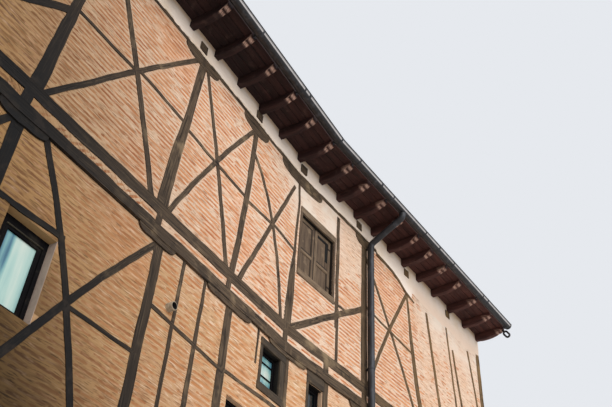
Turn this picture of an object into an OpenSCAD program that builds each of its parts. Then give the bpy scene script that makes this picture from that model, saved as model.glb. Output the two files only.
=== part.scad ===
// Half timbered house of two wings that meet at a slight bend.
// The origin is on the ground, halfway through the front wall, at the bend.
// X runs along the street front, Y runs into the house and Z is up.
// Wing coordinates are u along a front, y inwards from the timber face and z up:
// the left wing lies at negative u, the right wing at positive u.

/* [Plan] */
// Length of the left wing, from the bend to the party wall
left_len = 6620; // [6400:10:8000]
// Length of the right wing, from the bend to the free gable
right_len = 6320; // [6250:10:7400]
// Depth of the house, from the front face to the back face
depth = 8000; // [6500:50:9500]
// Angle by which the right wing turns towards the street
bend = 5.5; // [3:0.5:8]
// Thickness of the ground storey's masonry
ground_t = 450; // [350:10:600]
// Thickness of the timber framed walls
frame_t = 150; // [140:5:200]
// Thickness of the brick infill
brick_t = 120; // [100:5:125]
// How far the infill lies behind the timber face
brick_set = 12; // [8:1:16]
// Depth of a brace, rail or stud
brace_t = 120; // [90:5:130]
// Thickness of the party wall
party_t = 250; // [200:10:400]

/* [Storeys] */
// Height of the ground storey's masonry
ground_h = 3800; // [3400:10:4200]
// Height of the sill beam on the masonry
sill_h = 150; // [120:5:200]
// Height of the first storey's posts
lower_h = 2728; // [2600:1:2900]
// Height of the floor beam over the first storey
floor_beam_h = 150; // [120:5:200]
// How far the floor beam stands out from the wall
floor_beam_out = 25; // [10:5:50]
// Height of the brick band between the floor beam and the upper sill
band_h = 136; // [100:1:180]
// Height of the upper sill
upper_sill_h = 160; // [120:5:200]
// Height of the second storey's posts
upper_h = 2726; // [2600:1:2900]
// Height of the wall plate
plate_h = 63; // [50:1:100]
// Height of the plastered band under the eave
eave_band_h = 335; // [260:5:400]
// How far the plastered band stands out from the timber face
eave_band_out = 6; // [0:1:15]

/* [Floors] */
// Thickness of the floor boards
board_t = 30; // [24:1:45]
// Width of a floor joist
joist_w = 120; // [80:5:160]
// Height of a joist of the first floor
joist_h = 180; // [140:5:220]
// Greatest spacing of the floor joists
joist_step = 650; // [500:10:900]

/* [Eave and roof] */
// Reach of an eave bracket in front of the wall
eave_out = 630; // [500:10:750]
// Width of an eave bracket
bracket_w = 95; // [80:5:120]
// Height of an eave bracket at the wall
bracket_h = 136; // [110:1:160]
// Height of the tip of an eave bracket
bracket_tip_h = 78; // [60:1:95]
// Spacing of the eave brackets on the left wing and at the back
bracket_step = 575; // [450:5:700]
// Thickness of the boards over the brackets
soffit_t = 25; // [20:1:35]
// Slope of the roof
roof_slope = 17; // [12:0.5:25]
// Thickness of a roof slope with its tiles
roof_t = 190; // [150:5:240]
// How far the roof passes the gable
verge_out = 20; // [20:5:150]
// Width of the ridge beam
ridge_w = 140; // [100:5:200]
// Height of the ridge beam
ridge_h = 200; // [150:5:260]

/* [Gutter and downpipe] */
// Outer radius of the gutter
gutter_r = 75; // [60:1:90]
// Thickness of the gutter's zinc
gutter_t = 4; // [3:0.5:6]
// Gap between the bracket tips and the gutter
gutter_gap = 20; // [10:1:40]
// Radius of the bead along the gutter's lip
gutter_bead_r = 9; // [6:0.5:12]
// Outer radius of the downpipe
pipe_r = 55; // [40:1:65]
// Gap between the wall and the downpipe
pipe_gap = 35; // [20:1:60]
// Place of the downpipe on the right wing
pipe_u = 1960; // [1800:10:2150]

/* [Posts of the second storey] */
// Middle of the first post
p1_u = -4630; // [-4700:5:-4560]
// Middle of the second post
p2_u = -2660; // [-2760:5:-2560]
// Middle of the third post
p3_u = -1290; // [-1380:5:-1200]
// Middle of the post behind the downpipe
p5_u = 1900; // [1800:5:2000]
// Middle of the leaning post
p6_u = 3480; // [3400:5:3560]
// Width of the posts at the party wall and the corners
corner_w = 140; // [110:5:180]
// Width of the thick upper braces
brace_w = 85; // [60:5:100]
// Width of the slender upper braces
slim_brace_w = 66; // [50:2:80]
// Width of the single brace under the shutters
prop_w = 95; // [70:5:110]
// Height of a mid rail
rail_w = 44; // [34:2:60]

/* [Posts of the first storey] */
// Middle of the first lower post
q1_u = -4704; // [-4780:4:-4640]
// Middle of the second lower post
q2_u = -2653; // [-2740:1:-2560]
// Middle of the third lower post
q3_u = -1314; // [-1380:2:-1240]
// Middle of the slim lower post at the bend
q4_u = 36; // [20:2:60]
// Middle of the lower post beside the narrow window
q5_u = 912; // [880:4:960]
// Width of a lower post
lower_post_w = 135; // [110:5:160]
// Middle of the lower post under the leaning post
q6_u = 3725; // [3660:5:3790]
// Width of a lower brace
lower_brace_w = 75; // [60:5:90]

/* [Windows and door] */
// Width of the shuttered window's frame members
shutter_frame_w = 85; // [60:5:110]
// Width of the shuttered window's jambs
jamb_w = 50; // [40:2:70]
// Left edge of the shuttered opening
shutter_u = 140; // [120:5:180]
// Width of the shuttered opening
shutter_w = 850; // [760:10:900]
// Lower edge of the shuttered opening above the upper sill
shutter_z = 1000; // [950:10:1050]
// Height of the shuttered opening
shutter_h = 1100; // [1000:10:1200]
// Depth of the shutter leaves behind the timber face
shutter_set = 62; // [40:2:75]
// Thickness of a shutter leaf
leaf_t = 40; // [30:1:50]
// Depth of the windows behind the timber face
window_set = 75; // [60:5:100]
// Width of a window's sash members
sash_w = 55; // [45:5:75]
// Thickness of a sash
sash_t = 45; // [35:5:60]
// Thickness of the glass
glass_t = 6; // [4:1:10]
// Width of a glazing bar
bar_w = 22; // [16:2:32]
// Windows wider than this have a middle post
one_light_w = 700; // [650:10:780]
// Height of the ground storey's window sills
ground_window_z = 1000; // [800:50:1200]
// Width of the ground storey's front windows
ground_window_w = 1100; // [900:50:1300]
// Height of the ground storey's front windows
ground_window_h = 1400; // [1100:50:1500]
// Depth of the ground storey's front windows behind the wall's face
ground_set = 150; // [100:10:250]
// Width of the windows at the back
rear_window_w = 1000; // [800:50:1200]
// Height of the ground storey's windows at the back
rear_ground_window_h = 1300; // [1000:50:1500]
// Height of the upper storeys' windows at the back
rear_window_h = 1200; // [1000:50:1350]
// Height of those windows' lower edge above each storey's sill
rear_window_z = 850; // [750:10:950]
// Width of the doorway
door_w = 1100; // [900:10:1300]
// Height of the doorway
door_h = 2250; // [2000:10:2500]
// Left edge of the doorway on the left wing
door_u = -2500; // [-2700:10:-2300]
// Thickness of the door
door_t = 50; // [40:2:70]

/* [Hidden] */
$fn = 32;

brick_in = brick_set + brick_t;
half_bend = bend / 2;

// Levels, from the ground up
z_sill = ground_h;
z_lower = z_sill + sill_h;
z_beam = z_lower + lower_h;
z_band = z_beam + floor_beam_h;
z_upper_sill = z_band + band_h;
z_upper = z_upper_sill + upper_sill_h;
z_plate = z_upper + upper_h;
z_eave_band = z_plate + plate_h;
z_eave = z_eave_band + eave_band_h;
z_roof = z_eave + soffit_t;
z_ridge = z_roof + (depth / 2 + eave_out) * tan(roof_slope);

// The right wing's brackets stand a little beside even places between the first and the last
right_bracket_first = 534;
last_bracket_in = 35;
right_bracket_last = right_len + verge_out - last_bracket_in - bracket_w / 2;
right_bracket_shift = [0, -63, -103, -117, -131, -195, -209, -199, -116, -35, 0];
right_bracket_n = len(right_bracket_shift) - 1;
right_bracket_u = [for (i = [0 : right_bracket_n])
    mix(right_bracket_first, right_bracket_last, i / right_bracket_n) + right_bracket_shift[i]];
first_bracket_u = -92;
left_bracket_n = floor((left_len - party_t + first_bracket_u) / bracket_step);
left_bracket_u = [for (k = [0 : left_bracket_n]) first_bracket_u - k * bracket_step];

// How far a cutting shape passes what it cuts
over = 100;

// Plan and elevation helpers
function turn(u, y) = [u * cos(bend) + y * sin(bend), -u * sin(bend) + y * cos(bend)];
function mitre(y) = [y * tan(half_bend), y];
function mix(a, b, f) = a + (b - a) * f;
function bezier(a, b, c, t) = (1 - t) ^ 2 * a + 2 * t * (1 - t) * b + t ^ 2 * c;

// A curve from a to c that passes m halfway
function arc_through(a, m, c, n = 6) =
    let (control = 2 * m - (a + c) / 2)
    [for (i = [0 : n]) bezier(a, control, c, i / n)];

function unit(v) = v / norm(v);
function side_of(p, i) =
    let (d = unit(p[min(i + 1, len(p) - 1)] - p[max(i - 1, 0)]))
    [-d[1], d[0]];

// The outline of a bar along the points p, as wide as w says at each of them
function stroke(p, w) = concat(
    [for (i = [0 : len(p) - 1]) p[i] + side_of(p, i) * w[i] / 2],
    [for (i = [len(p) - 1 : -1 : 0]) p[i] - side_of(p, i) * w[i] / 2]);

function even(w, n = 6) = [for (i = [0 : n]) w];
function taper(w0, w1, n = 6) = [for (i = [0 : n]) mix(w0, w1, i / n)];

// Points of a bay between two posts, as shares of its width and of the storey's height
function upper_pt(u0, u1, f) = [mix(u0, u1, f[0]), z_upper + f[1] * upper_h];
function lower_pt(u0, u1, f) = [mix(u0, u1, f[0]), z_lower + f[1] * lower_h];

// A post from rows of offset from its middle, share of the storey's height and width
module post_2d(u, rows, z0, h) {
    polygon(stroke([for (r = rows) [u + r[0], z0 + r[1] * h]], [for (r = rows) r[2]]));
}

module upper_brace_2d(u0, u1, a, m, c, w0, w1) {
    polygon(stroke(arc_through(upper_pt(u0, u1, a), upper_pt(u0, u1, m), upper_pt(u0, u1, c)),
        taper(w0, w1)));
}

module lower_brace_2d(u0, u1, a, m, c, w) {
    polygon(stroke(arc_through(lower_pt(u0, u1, a), lower_pt(u0, u1, m), lower_pt(u0, u1, c)),
        even(w)));
}

module rail_2d(a, b, w) {
    polygon(stroke([a, b], [w, w]));
}

module box_2d(u0, u1, z0, z1) {
    translate([u0, z0]) square([u1 - u0, z1 - z0]);
}

// An outline in a wall's elevation, from the depth y0 to the depth y1
module wall_piece(y0, y1) {
    translate([0, y1, 0]) rotate([90, 0, 0]) linear_extrude(height = y1 - y0) children();
}

// The house stands with the middle of its ground storey's front wall on the X axis
module placed() {
    translate([0, -ground_t / 2, 0]) children();
}

module on_right() {
    rotate([0, 0, -bend]) children();
}

module on_bend() {
    rotate([0, 0, -half_bend]) children();
}

// The plan of a piece that follows both wings, from depth y0 to y1
module bent_2d(u0, u1, y0, y1) {
    polygon([[u0, y0], mitre(y0), turn(u1, y0), turn(u1, y1), mitre(y1), [u0, y1]]);
}

module bent_slab(u0, u1, y0, y1, z0, z1) {
    translate([0, 0, z0]) linear_extrude(height = z1 - z0) bent_2d(u0, u1, y0, y1);
}

// Everything on one side of the bend's mitre
module beyond_bend(right) {
    reach = left_len + right_len + depth;
    on_bend() translate([right ? 0 : -reach, -reach, 0]) cube([reach, 2 * reach, 2 * z_ridge]);
}

// An outline of depth and height that runs along both wings and meets itself in a mitre at the bend
module bent_run(outline, u0, u1) {
    intersection() {
        translate([u0, 0, 0]) rotate([90, 0, 90]) linear_extrude(height = depth - u0) polygon(outline);
        beyond_bend(false);
    }
    intersection() {
        on_right() translate([-depth, 0, 0]) rotate([90, 0, 90]) linear_extrude(height = depth + u1)
            polygon(outline);
        beyond_bend(true);
    }
}

function arc(r, a0, a1, n) = [for (i = [0 : n]) r * [cos(mix(a0, a1, i / n)), sin(mix(a0, a1, i / n))]];
function shifted(points, by) = [for (p = points) p + by];

// Second storey, left wing
upper_post_0 = [[0, 0, corner_w], [0, 1, corner_w]];
upper_post_1 = [[-65, 0, 174], [0, 0.49, 122], [70, 1, 108]];
upper_post_2 = [[-95, 0, 185], [-58, 0.29, 170], [15, 0.58, 128], [80, 1, 132]];
upper_post_3 = [[-75, 0, 104], [-20, 0.19, 108], [38, 0.58, 108], [46, 1, 98]];
upper_post_4 = [[-43, 0, 185], [-20, 0.2, 165], [-5, 0.34, 130], [10, 0.42, 62], [15, 0.6, 46],
    [40, 0.82, 44], [-20, 1, 48]];
upper_post_5 = [[0, 0, 170], [-5, 1, 150]];
upper_post_6 = [[245, 0, 150], [157, 0.15, 130], [76, 0.28, 127], [-32, 0.55, 107], [-73, 0.66, 76],
    [-138, 0.93, 58]];

// Crooked studs between the leaning post and the corner: distance from the wing's end, then their rows
upper_studs = [
    [2110, [[300, 0, 80], [155, 0.28, 78], [0, 0.6, 74], [-136, 0.9, 66]]],
    [1266, [[116, 0, 52], [0, 0.375, 50], [-180, 0.94, 48]]],
    [1033, [[243, 0, 66], [0, 0.41, 66], [-131, 0.64, 62], [-200, 0.8, 58]]],
    [320, [[240, 0, 62], [0, 0.52, 60], [-214, 0.92, 56]]]];
p0_u = -left_len + party_t + corner_w / 2;
p7_u = right_len - corner_w / 2;

module left_posts_2d() {
    difference() {
        union() {
            post_2d(p0_u, upper_post_0, z_upper, upper_h);
            post_2d(p1_u, upper_post_1, z_upper, upper_h);
            post_2d(p2_u, upper_post_2, z_upper, upper_h);
            post_2d(p3_u, upper_post_3, z_upper, upper_h);
        }
        upper_bolsters_left_2d();
        upper_trim_2d();
    }
}

module bend_post_2d() {
    difference() {
        post_2d(0, upper_post_4, z_upper, upper_h);
        upper_bolsters_left_2d();
        upper_bolsters_right_2d();
        upper_trim_2d();
    }
}

// Keeps leaning timbers between the upper sill and the wall plate
module upper_trim_2d() {
    trim_2d(z_upper, z_plate);
}

module trim_2d(z0, z1) {
    box_2d(-left_len - over, right_len + over, z0 - 5 * over, z0);
    box_2d(-left_len - over, right_len + over, z1, z1 + 5 * over);
}

module left_braces_2d() {
    difference() {
        union() {
            rail_2d(upper_pt(p1_u, p2_u, [0, 0.4945]), upper_pt(p1_u, p2_u, [0.5, 0.502]), rail_w);
            rail_2d(upper_pt(p1_u, p2_u, [0.5, 0.524]), upper_pt(p1_u, p2_u, [1, 0.509]), rail_w);
            rail_2d(upper_pt(p2_u, p3_u, [0, 0.491]), upper_pt(p2_u, p3_u, [0.5, 0.477]), rail_w);
            rail_2d(upper_pt(p2_u, p3_u, [0.5, 0.477]), upper_pt(p2_u, p3_u, [1, 0.464]), rail_w);
            rail_2d(upper_pt(p3_u, 0, [0, 0.454]), upper_pt(p3_u, 0, [0.5, 0.475]), rail_w);
            rail_2d(upper_pt(p3_u, 0, [0.5, 0.487]), upper_pt(p3_u, 0, [1, 0.464]), rail_w);
            upper_brace_2d(p0_u, p1_u, [0.05, -0.03], [0.55, 0.235], [1, 0.47], prop_w, prop_w);
            upper_brace_2d(p1_u, p2_u, [0.02, -0.01], [0.505, 0.4945], [0.985, 0.96], slim_brace_w,
                slim_brace_w);
            upper_brace_2d(p1_u, p2_u, [0.14, 1.02], [0.523, 0.4945], [0.865, -0.02], brace_w, brace_w);
            upper_brace_2d(p2_u, p3_u, [0.005, -0.02], [0.497, 0.4945], [0.99, 0.93], slim_brace_w,
                slim_brace_w);
            upper_brace_2d(p2_u, p3_u, [0.11, 0.98], [0.497, 0.4945], [0.865, -0.02], 56, 78);
            upper_brace_2d(p3_u, 0, [0.055, -0.02], [0.496, 0.448], [0.92, 0.89], 78, 58);
            upper_brace_2d(p3_u, 0, [0.04, 0.80], [0.53, 0.486], [0.84, -0.02], 58, slim_brace_w);
        }
        left_posts_2d();
        bend_post_2d();
        upper_bolsters_left_2d();
        upper_trim_2d();
    }
}

// Second storey, right wing
module right_posts_2d() {
    difference() {
        union() {
            post_2d(p5_u, upper_post_5, z_upper, upper_h);
            post_2d(p6_u, upper_post_6, z_upper, upper_h);
            box_2d(right_len - corner_w, right_len, z_upper, z_plate);
            for (s = upper_studs) post_2d(right_len - s[0], s[1], z_upper, upper_h);
        }
        upper_bolsters_right_2d();
        upper_trim_2d();
    }
}

shutter_bottom = z_upper + shutter_z;
shutter_top = shutter_bottom + shutter_h;
shutter_right = shutter_u + shutter_w;

module shutter_frame_2d() {
    box_2d(shutter_u - jamb_w / 2, shutter_right + jamb_w, shutter_bottom - shutter_frame_w,
        shutter_top + shutter_frame_w);
}

// The stud beside the shutters, from a fifth of the storey's height up, and the short one below it
shutter_stud = [[15, 0.2, 78], [0, 0.978, 78]];
short_stud = [[5, 0, 58], [0, 0.33, 58]];
shutter_stud_u = shutter_right + 115;
short_stud_u = shutter_right + 155;

// The shuttered window's sill runs on as a rail with a slight rise
sill_rail_reach = 450;
sill_rail_drop = [46, 12];
sill_rail_w = 38;

module right_braces_2d() {
    difference() {
        union() {
            upper_brace_2d(0, p5_u, [0, -0.02], [0.552, 0.263], [1, 0.485], prop_w, prop_w);
            upper_brace_2d(p5_u, p6_u, [0.05, -0.02], [0.42, 0.41], [0.9, 0.885], slim_brace_w, slim_brace_w);
            upper_brace_2d(p5_u, p6_u, [0, 0.9], [0.51, 0.507], [1.07, -0.01], slim_brace_w, slim_brace_w);
            post_2d(shutter_stud_u, shutter_stud, z_upper, upper_h);
            post_2d(short_stud_u, short_stud, z_upper, upper_h);
            rail_2d([shutter_right, shutter_bottom - sill_rail_drop[0]],
                [shutter_right + sill_rail_reach, shutter_bottom - sill_rail_drop[1]], sill_rail_w);
            rail_2d(upper_pt(p5_u, p6_u, [0, 0.511]), upper_pt(p5_u, p6_u, [1, 0.47]), rail_w - 4);
        }
        right_posts_2d();
        bend_post_2d();
        shutter_frame_2d();
        upper_bolsters_right_2d();
        upper_trim_2d();
    }
}

// How far the lower bolsters lie behind the floor beam's face, and the upper ones stand out
bolster_set = 8;
bolster_out = 4;

// Bolsters are short timbers with rounded ends that spread a beam's load onto a post.
// The end is blunt at the top and rounds off over the nose, as shares of the drop and the nose.
nose_per_drop = 1.6;
nose_limit = 0.42;
blunt_share = 0.3;
round_share = [0.28, 0.8];

module bolster_2d(u0, u1, z_top, drop) {
    nose = min(drop * nose_per_drop, (u1 - u0) * nose_limit);
    blunt = z_top - drop * blunt_share;
    bulge = z_top - drop * round_share[1];
    base = z_top - drop;
    polygon(concat([[u0, z_top], [u1, z_top]],
        arc_through([u1, blunt], [u1 - nose * round_share[0], bulge], [u1 - nose, base], 5),
        arc_through([u0 + nose, base], [u0 + nose * round_share[0], bulge], [u0, blunt], 5)));
}

// Rows of a post's middle, the bolster's reach to the left and right of it, and its drop
upper_bolsters_left = [[p2_u, 332, 410, 140], [p3_u, 286, 354, 184]];
upper_bolsters_right = [[p5_u, 266, 220, 160]];
lower_bolsters_left = [[q1_u, 286, 324, 110], [q2_u, 364, 233, 74], [q3_u, 456, 451, 74]];
lower_bolsters_right = [[p5_u, 400, 350, 90]];

// At the bend a bolster of each storey follows both wings: reach to the left and right, and drop
upper_bend_bolster = [519, 610, 172];
lower_bend_bolster = [436, 412, 60];

module bolster_row_2d(rows, z_top) {
    for (r = rows) bolster_2d(r[0] - r[1], r[0] + r[2], z_top, r[3]);
}

module half_bolster_2d(size, z_top, right) {
    intersection() {
        bolster_2d(-size[0], size[1], z_top, size[2]);
        box_2d(right ? 0 : -size[0], right ? size[1] : 0, z_top - size[2], z_top);
    }
}

module upper_bolsters_left_2d() {
    bolster_row_2d(upper_bolsters_left, z_plate);
    half_bolster_2d(upper_bend_bolster, z_plate, false);
}

module upper_bolsters_right_2d() {
    bolster_row_2d(upper_bolsters_right, z_plate);
    half_bolster_2d(upper_bend_bolster, z_plate, true);
}

// First storey
lower_post_4 = [[0, 0, 72], [0, 1, 68]];

module lower_bolsters_left_2d() {
    bolster_row_2d(lower_bolsters_left, z_beam);
    half_bolster_2d(lower_bend_bolster, z_beam, false);
}

module lower_bolsters_right_2d() {
    bolster_row_2d(lower_bolsters_right, z_beam);
    half_bolster_2d(lower_bend_bolster, z_beam, true);
}

module lower_trim_2d() {
    trim_2d(z_lower, z_beam);
}

// Windows of the first storey: left edge, right edge, lower edge and upper edge.
// The first is the bedroom's, the second and third stand beside the bend, the fourth is the pantry's.
window_1 = [-4560, -3895, z_lower + 943, z_lower + 1830];
window_2 = [-655, -121, z_lower + 1991, z_lower + 2597];
window_3 = [519, 844, z_lower + 1991, z_lower + 2563];
window_4 = [-1145, -600, z_lower + 850, z_lower + 1612];
window_5 = [4300, 5100, z_lower + 900, z_lower + 2000];
left_windows = [window_1, window_2, window_4];
right_windows = [window_3, window_5];

module windows_2d(list) {
    for (w = list) box_2d(w[0], w[1], w[2], w[3]);
}

// Rails: start, its height above the storey's sill, end, its height, and width
window_rail_w = 62;
left_lower_rails = [
    [q1_u, 1842, window_1[1] + 55, 1890, window_rail_w],
    [window_1[1] + 315, 1317, q2_u, 1331, rail_w],
    [q2_u, 1937, q3_u, 1831, rail_w],
    [q3_u, 1850, q4_u, 1899, rail_w]];
right_lower_rails = [
    [q4_u, 1899, p5_u, 1880, rail_w],
    [p5_u, 1350, q6_u, 1340, rail_w],
    [q6_u, 2060, p7_u, 2050, rail_w],
    [q6_u, 850, p7_u, 840, rail_w]];

// Studs of the left wing: middle, then their rows
left_lower_studs = [
    [q2_u + 430, [[-2, 0, 48], [2, 1, 48]]],
    [q3_u - 521, [[-15, 0, 74], [0, 0.55, 68], [26, 1, 44]]],
    [q3_u + 650, [[0, 0.825, 40], [0, 1, 40]]]];

// Studs of the right wing: distance from the wing's end and width
right_lower_studs = [[2100, 60], [1140, 60], [520, 52]];
narrow_post_w = 116;

module rails_2d(rows) {
    for (r = rows) rail_2d([r[0], z_lower + r[1]], [r[2], z_lower + r[3]], r[4]);
}

module lower_post_2d(u, w) {
    box_2d(u - w / 2, u + w / 2, z_lower, z_beam);
}

module left_lower_posts_2d() {
    difference() {
        union() {
            lower_post_2d(p0_u, corner_w);
            for (u = [q1_u, q2_u, q3_u]) lower_post_2d(u, lower_post_w);
        }
        lower_bolsters_left_2d();
    }
}

module bend_lower_post_2d() {
    difference() {
        post_2d(q4_u, lower_post_4, z_lower, lower_h);
        lower_bolsters_right_2d();
        lower_trim_2d();
    }
}

module left_lower_frame_2d() {
    left_lower_posts_2d();
    difference() {
        union() {
            lower_brace_2d(p0_u, q1_u, [0.02, -0.02], [0.5, 0.5], [0.98, 1], lower_brace_w);
            lower_brace_2d(p0_u, q1_u, [0.02, 1], [0.5, 0.5], [0.98, -0.02], lower_brace_w);
            lower_brace_2d(q1_u, q2_u, [0.15, 1], [0.52, 0.51], [0.79, -0.02], lower_brace_w);
            lower_brace_2d(q1_u, q2_u, [0.13, -0.02], [0.53, 0.49], [0.985, 0.98], lower_brace_w);
            rails_2d(left_lower_rails);
            for (s = left_lower_studs) post_2d(s[0], s[1], z_lower, lower_h);
        }
        left_lower_posts_2d();
        bend_lower_post_2d();
        lower_bolsters_left_2d();
        windows_2d(left_windows);
        lower_trim_2d();
    }
}

module right_lower_posts_2d() {
    difference() {
        union() {
            lower_post_2d(q5_u, narrow_post_w);
            lower_post_2d(p5_u, lower_post_w);
            lower_post_2d(q6_u, lower_post_w);
            lower_post_2d(p7_u, corner_w);
        }
        lower_bolsters_right_2d();
    }
}

module right_lower_frame_2d() {
    right_lower_posts_2d();
    difference() {
        union() {
            lower_brace_2d(q5_u, p5_u, [0.05, -0.02], [0.5, 0.36], [1, 0.7], lower_brace_w);
            lower_brace_2d(p5_u, q6_u, [0.03, -0.02], [0.5, 0.5], [0.97, 1], lower_brace_w);
            lower_brace_2d(p5_u, q6_u, [0.03, 1], [0.5, 0.5], [0.97, -0.02], lower_brace_w);
            rails_2d(right_lower_rails);
            for (s = right_lower_studs) lower_post_2d(right_len - s[0], s[1]);
        }
        right_lower_posts_2d();
        bend_lower_post_2d();
        lower_bolsters_right_2d();
        windows_2d(right_windows);
        lower_trim_2d();
    }
}

// Masonry of the ground storey, with a doorway and plain windows at the places in these lists
ground_window_left_u = [-5400];
ground_window_right_u = [1200, 4300];
rear_window_left_u = [-5200, -2600];
rear_window_right_u = [1000, 3600];

function ground_window(u) = [u, u + ground_window_w, ground_window_z, ground_window_z + ground_window_h];
function rear_window(u, z, h) = [u, u + rear_window_w, z, z + h];
function rear_u(right) = right ? rear_window_right_u : rear_window_left_u;

function ground_windows(right) =
    [for (u = right ? ground_window_right_u : ground_window_left_u) ground_window(u)];
function rear_ground_windows(right) =
    [for (u = rear_u(right)) rear_window(u, ground_window_z, rear_ground_window_h)];
function rear_upper_windows(right) =
    [for (u = rear_u(right), z = [z_lower, z_upper]) rear_window(u, z + rear_window_z, rear_window_h)];

// Holes through masonry that starts at the depth y
module wall_holes(list, y) {
    wall_piece(y - over, y + ground_t + over) windows_2d(list);
}

module front_ground_wall() {
    color("burlywood") placed() difference() {
        bent_slab(-left_len, right_len, 0, ground_t, 0, ground_h);
        wall_holes(ground_windows(false), 0);
        on_right() wall_holes(ground_windows(true), 0);
        wall_holes([[door_u, door_u + door_w, -over, door_h]], 0);
        wall_holes([[-left_len - over, -left_len + party_t, -over, ground_h + over]], 0);
    }
}

module back_ground_wall() {
    color("burlywood") placed() difference() {
        bent_slab(-left_len + party_t, right_len, depth - ground_t, depth, 0, ground_h);
        wall_holes(rear_ground_windows(false), depth - ground_t);
        on_right() wall_holes(rear_ground_windows(true), depth - ground_t);
    }
}

module gable_ground_wall() {
    color("burlywood") placed() on_right()
        translate([right_len - ground_t, ground_t, 0]) cube([ground_t, depth - 2 * ground_t, ground_h]);
}

// The party wall closes the left end up to the roof
module party_wall() {
    color("tan") placed() translate([-left_len, 0, 0]) rotate([90, 0, 90])
        linear_extrude(height = party_t) gable_outline_2d(0);
}

// End wall outline in depth and height, from the level z0 up to the underside of the roof
module gable_outline_2d(z0) {
    polygon([[0, z0], [depth, z0], [depth, roof_under(depth)], [depth / 2, roof_under(depth / 2)],
        [0, roof_under(0)]]);
}

function roof_under(y) = z_roof + (eave_out + min(y, depth - y)) * tan(roof_slope);

module left_lower_frame() {
    color("dimgray") placed() {
        translate([-left_len + party_t, 0, z_sill]) cube([left_len - party_t, frame_t, sill_h]);
        wall_piece(0, frame_t) left_lower_frame_2d();
    }
}

module right_lower_frame() {
    color("dimgray") placed() {
        on_right() {
            translate([0, 0, z_sill]) cube([right_len, frame_t, sill_h]);
            wall_piece(0, frame_t) right_lower_frame_2d();
        }
        on_bend() wall_piece(0, frame_t) bend_lower_post_2d();
    }
}

module lower_brick() {
    color("sandybrown") placed() {
        wall_piece(brick_set, brick_in) difference() {
            box_2d(p0_u, 0, z_lower, z_beam);
            left_lower_frame_2d();
            bend_lower_post_2d();
            lower_bolsters_left_2d();
            windows_2d(left_windows);
        }
        on_right() wall_piece(brick_set, brick_in) difference() {
            box_2d(q4_u, p7_u, z_lower, z_beam);
            right_lower_frame_2d();
            bend_lower_post_2d();
            lower_bolsters_right_2d();
            windows_2d(right_windows);
        }
    }
}

// How far the floor beam passes the timber frame inside
floor_beam_in = 25;

module floor_beam() {
    color("dimgray") placed()
        bent_slab(-left_len + party_t, right_len, -floor_beam_out, frame_t + floor_beam_in, z_beam, z_band);
}

// Short posts stand in the brick band, near the main posts: middle and width
band_posts_left = [[q1_u - 26, 122], [q2_u - 97, 92], [q3_u - 79, 92], [q4_u - 98, 116]];
band_posts_right = [[q5_u, narrow_post_w], [p5_u, 130], [q6_u, 130], [p7_u, corner_w]];

module band_posts_2d(list) {
    for (p = list) box_2d(p[0] - p[1] / 2, p[0] + p[1] / 2, z_band, z_upper_sill);
}

module upper_sill() {
    color("dimgray") placed() {
        bent_slab(-left_len + party_t, right_len, 0, frame_t, z_upper_sill, z_upper);
        wall_piece(0, brick_in) band_posts_2d(band_posts_left);
        on_right() wall_piece(0, brick_in) band_posts_2d(band_posts_right);
    }
}

module band_brick() {
    color("sandybrown") placed() {
        wall_piece(brick_set, brick_in) difference() {
            box_2d(-left_len + party_t, 0, z_band, z_upper_sill);
            band_posts_2d(band_posts_left);
        }
        on_right() wall_piece(brick_set, brick_in) difference() {
            box_2d(0, p7_u, z_band, z_upper_sill);
            band_posts_2d(band_posts_right);
        }
    }
}

module left_posts() {
    color("dimgray") placed() wall_piece(0, frame_t) left_posts_2d();
}

module left_braces() {
    color("dimgray") placed() wall_piece(0, brace_t) left_braces_2d();
}

module right_posts() {
    color("dimgray") placed() {
        on_bend() wall_piece(0, frame_t) bend_post_2d();
        on_right() wall_piece(0, frame_t) right_posts_2d();
    }
}

module right_braces() {
    color("dimgray") placed() on_right() wall_piece(0, brace_t) right_braces_2d();
}

module left_brick() {
    color("sandybrown") placed() wall_piece(brick_set, brick_in) difference() {
        box_2d(p0_u, 0, z_upper, z_plate);
        left_posts_2d();
        bend_post_2d();
        left_braces_2d();
        upper_bolsters_left_2d();
    }
}

module right_brick() {
    color("sandybrown") placed() on_right() wall_piece(brick_set, brick_in) difference() {
        box_2d(0, p7_u, z_upper, z_plate);
        right_posts_2d();
        bend_post_2d();
        right_braces_2d();
        shutter_frame_2d();
        upper_bolsters_right_2d();
    }
}

module wall_plate() {
    color("dimgray") placed()
        bent_slab(-left_len + party_t, right_len, 0, frame_t, z_plate, z_eave_band);
}

module bolsters() {
    color("dimgray") placed() {
        wall_piece(-floor_beam_out + bolster_set, frame_t) lower_bolsters_left_2d();
        wall_piece(-bolster_out, frame_t) upper_bolsters_left_2d();
        on_right() {
            wall_piece(-floor_beam_out + bolster_set, frame_t) lower_bolsters_right_2d();
            wall_piece(-bolster_out, frame_t) upper_bolsters_right_2d();
        }
    }
}

// The ends of the tie beams show as dark squares in the plastered band, near the posts that carry them
tie_w = 150;
tie_lift = 40;
tie_out = 4;
tie_left = [-left_len + 620, p1_u + 180, p2_u, p3_u + 52];
tie_right = [60, p5_u - 195, p6_u - 150, right_len - 1370];

module tie_beam_row(list) {
    reach = eave_band_out + tie_out;
    for (u = list) translate([u - tie_w / 2, -reach, z_eave_band + tie_lift])
        cube([tie_w, depth + 2 * reach, tie_w]);
}

module tie_beams() {
    color("saddlebrown") placed() {
        tie_beam_row(tie_left);
        on_right() tie_beam_row(tie_right);
    }
}

module eave_band() {
    color("wheat") placed() difference() {
        bent_slab(-left_len + party_t, right_len, -eave_band_out, frame_t, z_eave_band, z_eave);
        tie_beam_row(tie_left);
        on_right() tie_beam_row(tie_right);
        for (u = left_bracket_u) bracket_slot(u);
        on_right() for (u = right_bracket_u) bracket_slot(u);
    }
}

module bracket_slot(u) {
    across(u, bracket_w) translate([-over, z_eave - bracket_h]) square([frame_t + 2 * over, bracket_h + over]);
}

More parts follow.
